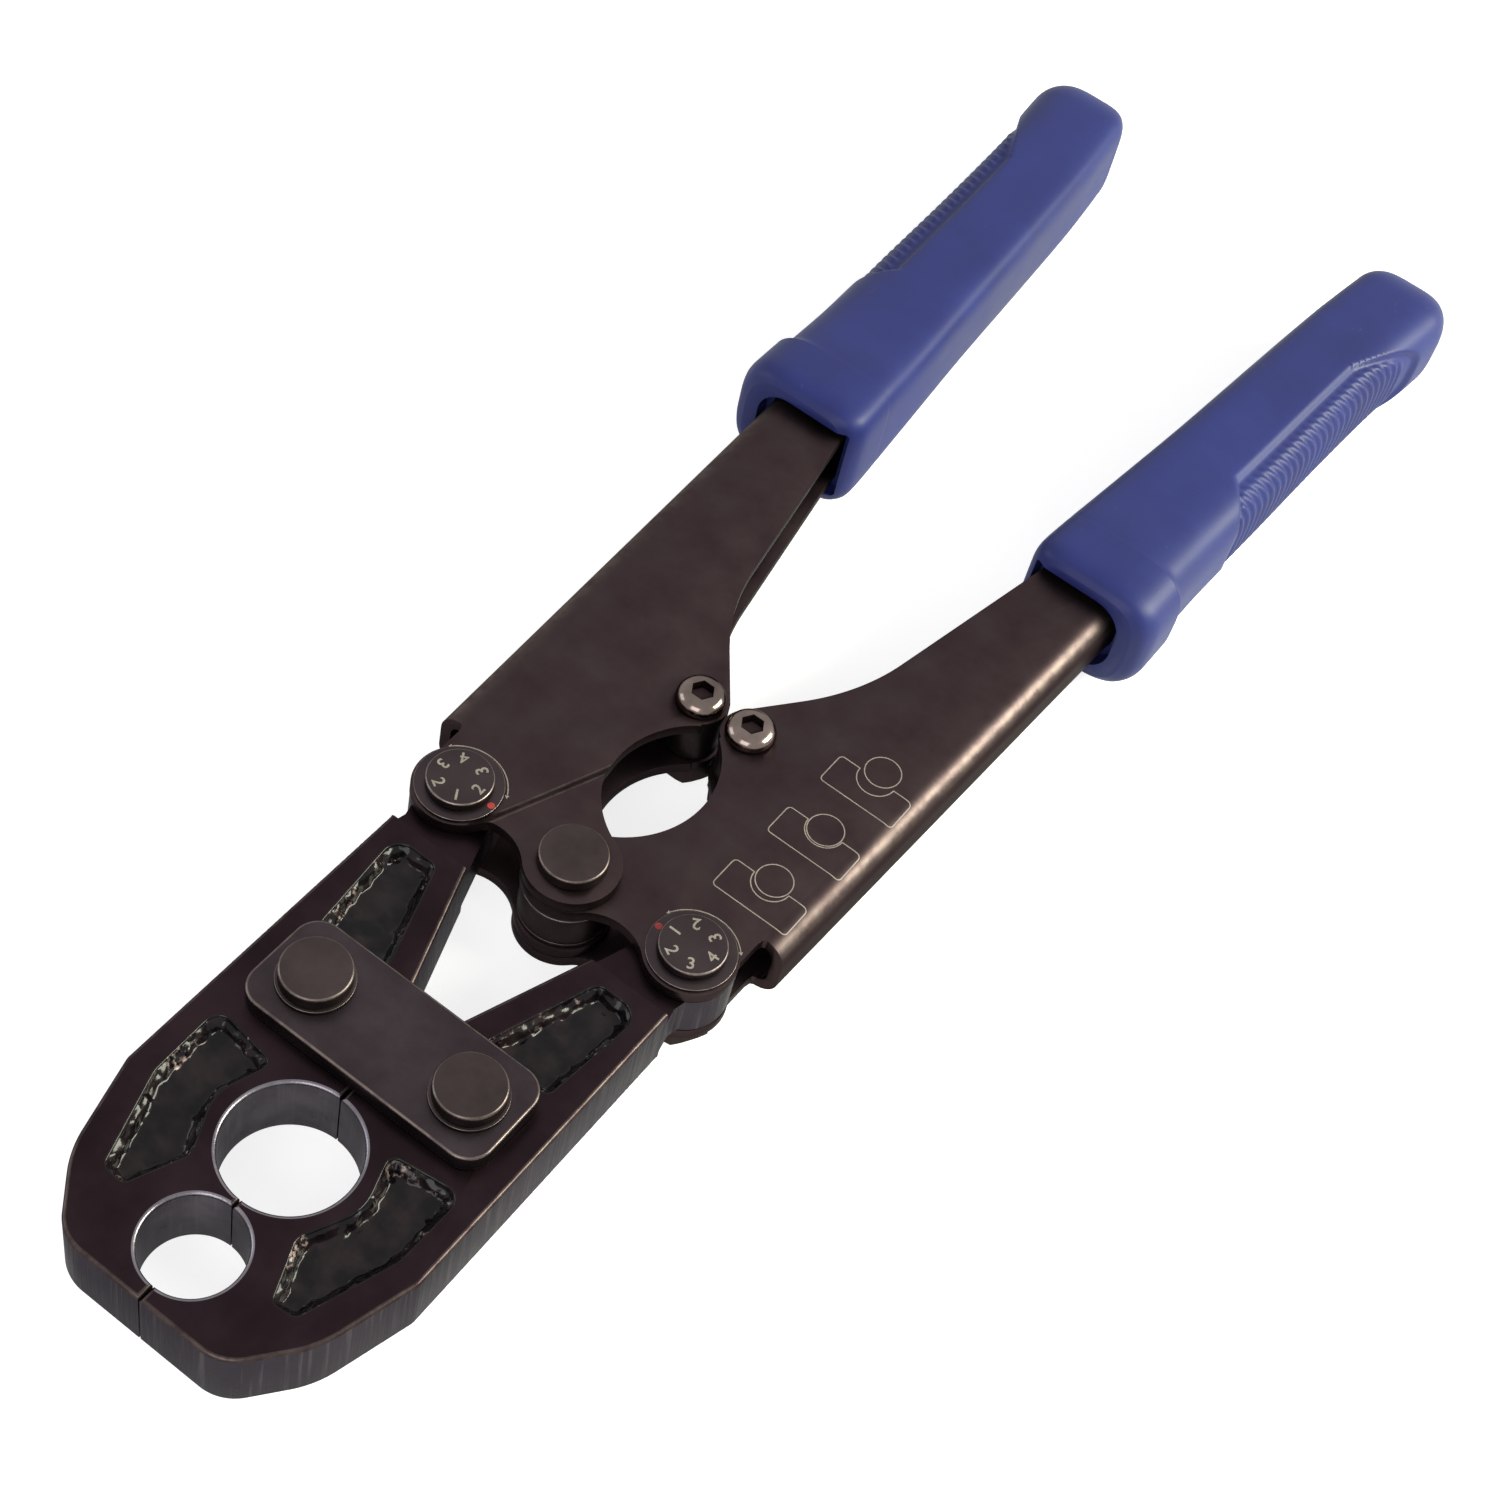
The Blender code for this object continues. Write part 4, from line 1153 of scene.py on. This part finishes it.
def gripShape():
    lastRow = grip["sections"][-1][0]
    cap = grip["length"] - lastRow
    around = grip["around"]
    flatness = grip["endFlatness"]
    rings = []
    for y in gripStations():
        at = y - grip["start"]
        past = max(0.0, at - lastRow)
        inner, outer, high = sectionAt(min(at, lastRow))
        shrink = max(grip["endTip"], sqrt(max(0.0, 1 - (past / cap) ** 2)))
        wide = (outer - inner) / 2 * shrink
        tall = high * (flatness + (1 - flatness) * shrink)
        middle = (inner + outer) / 2 + past * grip["endLean"]
        ring = []
        for i in range(around):
            a = 2 * pi * i / around
            fullness = grip["fullness"][0 if cos(a) > 0 else 1]
            x = wide * powered(cos(a), 2 / fullness)
            z = tall * powered(sin(a), 2 / fullness)
            slopeX = powered(x / wide, fullness - 1) / wide
            slopeZ = powered(z / tall, fullness - 1) / tall
            sink = panelSink(y, degrees(atan2(sin(a), cos(a)))) / hypot(slopeX, slopeZ)
            ring.append((middle + x - slopeX * sink, y, z - slopeZ * sink))
        rings.append(ring)
    return linked(rings)


def gripCore(front, rear, extra):
    # The channel's outside between two places, grown by extra
    half = handleTop + extra
    bend = handle["bend"] + extra
    layers = []
    for y in (front, handle["mouth"], rear):
        if front <= y <= rear:
            outer = webAt(min(y, handle["end"])) + extra
            inner = innerEdgeAt(min(y, handle["end"])) - extra
            outline = rectangle(inner, -half, outer, half, (grip["coreCorner"], bend), 8)
            layers.append([(x, y, z) for x, z in outline])
    return linked(layers)


def buildGrip(word, side):
    turn = None if side > 0 else mirrorX
    obj = blank("grip_moulding_" + word, gripShape(), [finishes["grip"]], turn)
    start = grip["start"]
    core = gripCore(start - over, handle["end"] + gap, grip["wall"])
    mouth = gripCore(start - over, start + grip["mouthDepth"], grip["mouthRoom"])
    carve(obj, [core, mouth], turn)
    finish(obj, "handle_" + word, ["grip_" + word], 50, unworn)


for word, side in sides:
    buildGrip(word, side)
print("grips ready")


# Centre pivot
pivotPieces = {"bore": 4.9, "pin": 4.6, "head": 6.5, "headHeight": 2.6, "rim": 0.5}
pivotPin = headedPin("pivot_pin", pivot, pivotPieces)
piece("pivot_bolt", pivotPin, finishes["pin"], "pivot", ["pivot_pin"])
for node, name, rim in (
    ("pivot_spacer", "pivot_sleeve", 0.3), ("pivot_washer_top", "pivot_shim_top", 0.1),
    ("pivot_washer_bottom", "pivot_shim_bottom", 0.1), ("pivot_ring", "pivot_bolt_ring", 0.4),
):
    plainRing(node, name, pivotPieces["bore"], "pivot", rim)
print("pivot ready")


# Dials with their washers, lock washers and lock nuts
dial = {
    "headRadius": 6.4,
    "headHeight": 1.8,
    "headEase": 0.1,
    "rim": 0.4,
    "journal": 4.4,
    "cam": (3.6, 0.5),  # radius and throw
    "thread": 3.9,
    "pitch": 1.0,
    "threadDepth": 0.45,
    "threadRunOut": 0.6,
    "camHalf": 4.85,
    "nutFlats": 13.0,
    "digits": "123432",
    "digitSize": 3.375,
    "digitBoldness": 0.05,
    "digitPlace": 4.15,
    "digitLift": 0.005,
    "digitTurn": {"left": 300.0, "right": 180.0},  # bearing of the first digit
    "paint": 0.03,
}
threadForm = {"ringsPerTurn": 8, "tipSlope": 1.2}
nutForm = {"coneShare": 1.04, "coneTrim": 0.1, "coneSlope": 30.0, "boreEdge": 0.5}


def threadRings(centre, low, high, radius, pitch, depth, steps):
    # Rings of a screw thread, from its chamfered tip upwards
    rings = []
    count = round((high - low) / pitch * threadForm["ringsPerTurn"])
    for k in range(count + 1):
        z = low + (high - low) * k / count
        tip = radius - depth + (z - low) * threadForm["tipSlope"]
        ring = []
        for i in range(steps):
            phase = (z / pitch - i / steps) % 1.0
            r = min(tip, radius - depth * abs(2 * phase - 1))
            ring.append((*pointAt(centre, r, 2 * pi * i / steps), z))
        rings.append(ring)
    return rings


def digitMesh(centre, height, firstBearing):
    # Numbers round a dial, feet to the rim, as thin raised paint
    shapes = []
    count = len(dial["digits"])
    for k, digit in enumerate(dial["digits"]):
        curve = bpy.data.curves.new("digit", "FONT")
        curve.body = digit
        curve.size = dial["digitSize"]
        curve.align_x = "CENTER"
        curve.align_y = "CENTER"
        curve.extrude = dial["paint"] / 2
        curve.resolution_u = 4
        curve.offset = dial["digitBoldness"]
        holder = looseObject("digit", curve)
        bpy.context.view_layer.update()
        graph = bpy.context.evaluated_depsgraph_get()
        mesh = bpy.data.meshes.new_from_object(holder.evaluated_get(graph))
        shape = bmesh.new()
        shape.from_mesh(mesh)
        bmesh.ops.remove_doubles(shape, verts=shape.verts, dist=1e-5)
        heights = [vert.co.y for vert in shape.verts]
        middle = (min(heights) + max(heights)) / 2
        bearing = radians(firstBearing - 360 / count * k)
        spin = Matrix.Rotation(bearing + pi / 2, 4, "Z")
        spot = (*pointAt(centre, dial["digitPlace"], bearing), height + dial["paint"] / 2)
        shape.transform(Matrix.Translation(spot) @ spin @ Matrix.Translation((0, -middle, 0)))
        bpy.data.objects.remove(holder, do_unlink=True)
        bpy.data.meshes.remove(mesh)
        shapes.append(shape)
    return joined(shapes)


def hexNut(centre, acrossFlats, low, high, bore, steps=72):
    # A hexagon nut whose corners are turned down to a cone at both ends
    flat = acrossFlats / 2
    cone = flat * nutForm["coneShare"] - nutForm["coneTrim"]
    edge = nutForm["boreEdge"]
    rings = [[], [], [], []]
    for i in range(steps):
        bearing = 2 * pi * i / steps
        nearest = (bearing + pi / 6) % (pi / 3) - pi / 6
        reach = flat / cos(pi / 6 - abs(nearest))
        drop = max(0.0, reach - cone) * tan(radians(nutForm["coneSlope"]))
        inner = min(reach, cone)
        for ring, r, z in zip(rings, (inner, reach, reach, inner), (low, low + drop, high - drop, high)):
            ring.append((*pointAt(centre, r, bearing), z))
    inside = [(low, bore + edge), (low + edge, bore), (high - edge, bore), (high, bore + edge)]
    return linked(rings + turnedRings(centre, inside, steps)[::-1], ends=False)


def buildDial(word, side):
    centre = sided(dialPin, side)
    low, high = levelsOf("dial_" + word)
    threadTop = levelsOf("lock_washer_" + word)[0] + dial["threadRunOut"]
    base = high - dial["headHeight"]
    camRadius, throw = dial["cam"]
    half = dial["camHalf"]
    thread, journal, head, ease = (dial[key] for key in ("thread", "journal", "headRadius", "headEase"))
    rings = threadRings(centre, low, threadTop, thread, dial["pitch"], dial["threadDepth"], 72)
    profile = [
        (-handleTop, thread), (-handleTop, journal), (-half, journal), (-half, camRadius, throw),
        (half, camRadius, throw), (half, journal), (base, journal), (base, head - ease),
        (base + ease, head),
    ]
    rings += turnedRings(centre, profile + roundEdge(high, head, dial["rim"], 1), 72)
    piece("dial_knob_" + word, linked(rings), finishes["dial"], "dial_" + word, ["dial_" + word])
    numbers = digitMesh(centre, high + dial["digitLift"], dial["digitTurn"][word])
    piece("dial_numbers_" + word, numbers, finishes["etched"], "dial_" + word, wearAndSheen=unworn)
    body = "handle_" + word
    plainRing("dial_washer_" + word, "dial_shim_" + word, journal + gap, body, material=finishes["dial"])
    plainRing("lock_washer_" + word, "dial_lock_washer_" + word, thread + gap, body)
    nut = hexNut(centre, dial["nutFlats"], *levelsOf("lock_nut_" + word), thread + gap)
    piece("dial_lock_nut_" + word, nut, finishes["pin"], "lock_nut_" + word, ["lock_nut_" + word])


for word, side in sides:
    buildDial(word, side)
print("dials ready")


# Stops behind the pivot
stop = {
    "head": 5.0,
    "headHeight": 2.8,
    "headEase": 0.12,
    "rim": 0.35,
    "dome": (0.86, 0.72),  # how much of a quarter turn it covers, and how fast it narrows
    "screw": 3.0,
    "socket": 4.0,
    "socketDepth": 2.1,
    "socketPoint": (0.6, 0.3),  # depth below the floor, and radius
    "socketMouth": (0.3, 0.1, 0.15),  # from below the top to above it, and how much wider
    "steps": 60,
    "threadRunOut": 0.3,
    "pitch": 1.0,
    "threadDepth": 0.4,
    "nutFlats": 10.0,
    "spacerRim": 0.2,
}


def domeProfile(base):
    # The button head's side and dome, with the edge under it eased
    head, rim = stop["head"], stop["rim"]
    covered, narrowing = stop["dome"]
    fullest = pi / 2 * covered
    profile = [(base, head - stop["headEase"])]
    steps = 12
    for i in range(steps + 1):
        a = fullest * i / steps
        rise = (stop["headHeight"] - rim) * sin(a) / sin(fullest)
        profile.append((base + rim + rise, head * cos(a * narrowing)))
    return profile


def socketShape(centre, top):
    reach = stop["socket"] / 2 / cos(pi / 6)
    floor = top - stop["socketDepth"]
    point, pointRadius = stop["socketPoint"]
    below, above, wider = stop["socketMouth"]
    profile = [
        (floor - point, pointRadius), (floor, reach), (top - below, reach), (top + above, reach + wider),
        (top + over, reach + wider),
    ]
    return linked(turnedRings(centre, profile, 6))


def buildStop(word, side):
    centre = sided(stopScrew, side)
    screw = stop["screw"]
    low, high = levelsOf("stop_screw_" + word)
    nutLow, nutHigh = levelsOf("stop_nut_" + word)
    base = high - stop["headHeight"]
    rings = threadRings(centre, low, nutHigh, screw, stop["pitch"], stop["threadDepth"], stop["steps"])
    profile = [(nutHigh + stop["threadRunOut"], screw), (base, screw)] + domeProfile(base)
    rings += turnedRings(centre, profile, stop["steps"])
    obj = blank("stop_button_" + word, linked(rings), [finishes["screw"]])
    carve(obj, [socketShape(centre, high)], material=finishes["sheet"])
    body = "handle_" + word
    finish(obj, body, ["stop_screw_" + word], 30, unworn)
    plainRing("stop_spacer_" + word, "stop_sleeve_" + word, screw + gap, body, stop["spacerRim"])
    nut = hexNut(centre, stop["nutFlats"], nutLow, nutHigh, screw + gap)
    piece("stop_hex_nut_" + word, nut, finishes["pin"], body, ["stop_nut_" + word])


for word, side in sides:
    buildStop(word, side)
print("stops ready")


# Etched marks: plain lines and rings
marks = {
    "lift": 0.012,
    "layer": 0.002,  # between marks that cross
    "thick": 0.03,
    "line": 0.22,
    "spacing": 0.5,
    "dot": (0.7, 0.004, 0.05),  # radius, and its faces over the dial's washer
    "dotPlace": 7.45,
    "dialArc": (8.95, 42.0, 152.0),  # radius and bearings on the right; the left is its mirror
    "arrow": (0.85, 0.8, 150.0),  # size, how far its tip leads the arc, and its spread
    "symbolPlace": 11.3,  # inwards from the handle's outer side
    "gauges": ((21.0, 0.9), (37.5, 0.15), (54.0, 2.2)),  # place, and how far its ring lies out of the notch
    "gaugePlate": (8.3, 3.7, 0.9),  # half its length and width, and its corners
    "gaugeNotch": 3.9,
    "gaugeMiddle": -2.2,
    "ringMiddle": 1.5,
    "ringRadius": 3.6,
}


def ribbon(points, z, closed=False):
    # A thin closed strip along a line in plan
    count = len(points)
    top = z + marks["thick"]
    rings = []
    for i, (x, y) in enumerate(points):
        if closed:
            before, after = points[i - 1], points[(i + 1) % count]
        else:
            before, after = points[max(i - 1, 0)], points[min(i + 1, count - 1)]
        along = Vector((after[0] - before[0], after[1] - before[1])).normalized()
        side = Vector((-along.y, along.x)) * marks["line"] / 2
        right = (x - side.x, y - side.y)
        left = (x + side.x, y + side.y)
        rings.append([(*right, z), (*left, z), (*left, top), (*right, top)])
    return linked(rings, ends=not closed)


def laid(shapes):
    # Presses the marks onto the sheet where it curves down into the bend
    for shape in shapes:
        for vert in shape.verts:
            past = min(handle["bend"], max(0.0, abs(vert.co.x) - (webAt(vert.co.y) - handle["bend"])))
            vert.co.z -= handle["bend"] - sqrt(handle["bend"] ** 2 - past * past)
    return shapes


def arrowHead(foot, heading, z):
    size, lead, wings = marks["arrow"]
    tip = pointAt(foot, lead, radians(heading))
    points = [tip] + [pointAt(tip, size, radians(heading + wing)) for wing in (wings, -wings)]
    return prism(points, z, z + marks["thick"])


def gaugeSymbol(x, y, push):
    # A notched gauge plate with a ring in or beside its notch
    z = handleTop + marks["lift"]
    layer = marks["layer"]
    notch = marks["gaugeNotch"]
    spacing = marks["spacing"]
    halfLong, halfWide, corner = marks["gaugePlate"]
    middle = y + marks["gaugeMiddle"]
    high = middle + halfWide
    outline = rectangle(x - halfLong, middle - halfWide, x + halfLong, high, (corner, corner), 6)
    lastCorner = len(outline) * 3 // 4
    path = [(x - notch, high)] + outline[lastCorner:] + outline[:lastCorner] + [(x + notch, high)]
    rim = evenly(path, spacing)[:-round(2 * notch / spacing)] + [path[-1]]
    bow = arc((x, high), notch, 180, 360, 30)
    ring = circle((x, y + marks["ringMiddle"] + push), marks["ringRadius"], 48)
    return [ribbon(rim, z), ribbon(bow, z + layer), ribbon(ring, z + 2 * layer, closed=True)]


def buildMarks():
    top = handleTop + marks["lift"]
    radius, start, end = marks["dialArc"]
    dotRadius, dotLow, dotHigh = marks["dot"]
    for word, side in sides:
        centre = sided(dialPin, side)
        bearings = (start, end) if side > 0 else (180 - end, 180 - start)
        shapes = [ribbon(arc(centre, radius, *bearings, 40), top)]
        for bearing, turn in zip(bearings, (-90, 90)):
            foot = pointAt(centre, radius, radians(bearing))
            shapes.append(arrowHead(foot, bearing + turn, top + marks["layer"]))
        if word == "right":
            for y, push in marks["gauges"]:
                shapes += gaugeSymbol(webAt(y) - marks["symbolPlace"], y, push)
        body = "handle_" + word
        etching = joined(laid(shapes))
        piece("etched_marks_" + word, etching, finishes["etched"], body, wearAndSheen=unworn)
        dotX = centre[0] - side * marks["dotPlace"]
        washerTop = levelsOf("dial_washer_" + word)[1]
        dot = prism(circle((dotX, dialPin[1]), dotRadius, 28), washerTop + dotLow, washerTop + dotHigh)
        piece("index_dot_" + word, dot, finishes["red"], body, wearAndSheen=unworn)


buildMarks()
print("marks ready")


# Floor, light and camera
stage = {
    "floorSize": 8.0,
    "floorDrop": 0.0002,  # below the part
    "floorShade": (0.62, 0.62, 0.62),
    "glowSeen": 0.80,
    "glowMirrored": 0.30,
    "room": (0.26, 0.255, 0.25),
}


def buildStage():
    bottom = cadBox[0][2] - stage["floorDrop"]
    bpy.ops.mesh.primitive_plane_add(size=stage["floorSize"], location=(0, 0, bottom))
    floor = bpy.context.object
    floor.name = "floor"
    material, tree, shader = newMaterial("paleFloor")
    rays = tree.nodes.new("ShaderNodeLightPath")
    direct = mathNode(tree, "MULTIPLY", rays.outputs["Is Camera Ray"], stage["glowSeen"])
    mirrored = mathNode(tree, "MULTIPLY", rays.outputs["Is Glossy Ray"], stage["glowMirrored"])
    plug(
        tree, shader, Base_Color=stage["floorShade"], Roughness=0.9, Specular_IOR_Level=0.0,
        Emission_Color=(1.0, 1.0, 1.0), Emission_Strength=mathNode(tree, "ADD", direct, mirrored)
    )
    floor.data.materials.append(material)


def buildWorld():
    world = bpy.data.worlds.new("softRoom")
    bpy.context.scene.world = world
    world.use_nodes = True
    tree = world.node_tree
    background = tree.nodes["Background"]
    rays = tree.nodes.new("ShaderNodeLightPath")
    seen = mathNode(tree, "MAXIMUM", rays.outputs["Is Camera Ray"], rays.outputs["Is Glossy Ray"])
    seen = mathNode(tree, "MAXIMUM", seen, rays.outputs["Is Transmission Ray"])
    shade = mixColour(tree, seen, stage["room"], (1.0, 1.0, 1.0))
    plug(tree, background, Color=shade, Strength=1.0)


lights = {  # place, direction of the long side, size, watts, colour
    "right_rear": ((0.73, 0.44, 0.525), (-0.28, 0.926, -0.254), (0.34, 0.7), 19.0, (0.97, 1.0, 0.82)),
    "front": ((0.12, -0.62, 0.42), (1, 0, 0), (0.4, 0.4), 2.0, (1.0, 1.0, 1.0)),
    "left_front": ((-0.75, -0.35, 0.35), (0, 0, 1), (0.4, 0.4), 1.5, (0.9, 0.95, 1.0)),
}


def buildLights():
    for name, (place, lengthways, size, watts, colour) in lights.items():
        data = bpy.data.lights.new(name, "AREA")
        data.shape = "RECTANGLE"
        data.size, data.size_y = size
        data.energy = watts
        data.color = colour
        lamp = bpy.data.objects.new(name, data)
        back = Vector(place).normalized()
        across = Vector(lengthways).cross(back).normalized()
        turn = Matrix((across, back.cross(across), back)).transposed().to_4x4()
        lamp.matrix_world = Matrix.Translation(place) @ turn
        bpy.context.scene.collection.objects.link(lamp)


view = {
    "azimuth": 23.5,
    "elevation": 52.0,
    "roll": 15.7,
    "distance": 505.0,
    "target": (5.8, 49.8),
    "focal": 1.75,  # in widths of the frame
}


def buildCamera():
    azimuth, elevation, roll = (radians(view[key]) for key in ("azimuth", "elevation", "roll"))
    ahead = Vector((-sin(azimuth) * cos(elevation), cos(azimuth) * cos(elevation), -sin(elevation)))
    right = Vector((cos(azimuth), sin(azimuth), 0))
    down = ahead.cross(right)
    turnedRight = right * cos(roll) - down * sin(roll)
    turnedDown = right * sin(roll) + down * cos(roll)
    data = bpy.data.cameras.new("camera")
    data.lens = view["focal"] * data.sensor_width
    data.clip_start = 0.01
    camera = bpy.data.objects.new("camera", data)
    bpy.context.scene.collection.objects.link(camera)
    target = toolOrigin + Vector((*view["target"], 0)) * mm
    place = target - ahead * view["distance"] * mm
    turn = Matrix((turnedRight, -turnedDown, -ahead)).transposed().to_4x4()
    camera.matrix_world = Matrix.Translation(place) @ turn
    bpy.context.scene.camera = camera


buildStage()
buildWorld()
buildLights()
buildCamera()
bpy.context.scene.view_settings.view_transform = "Standard"
print("stage ready")
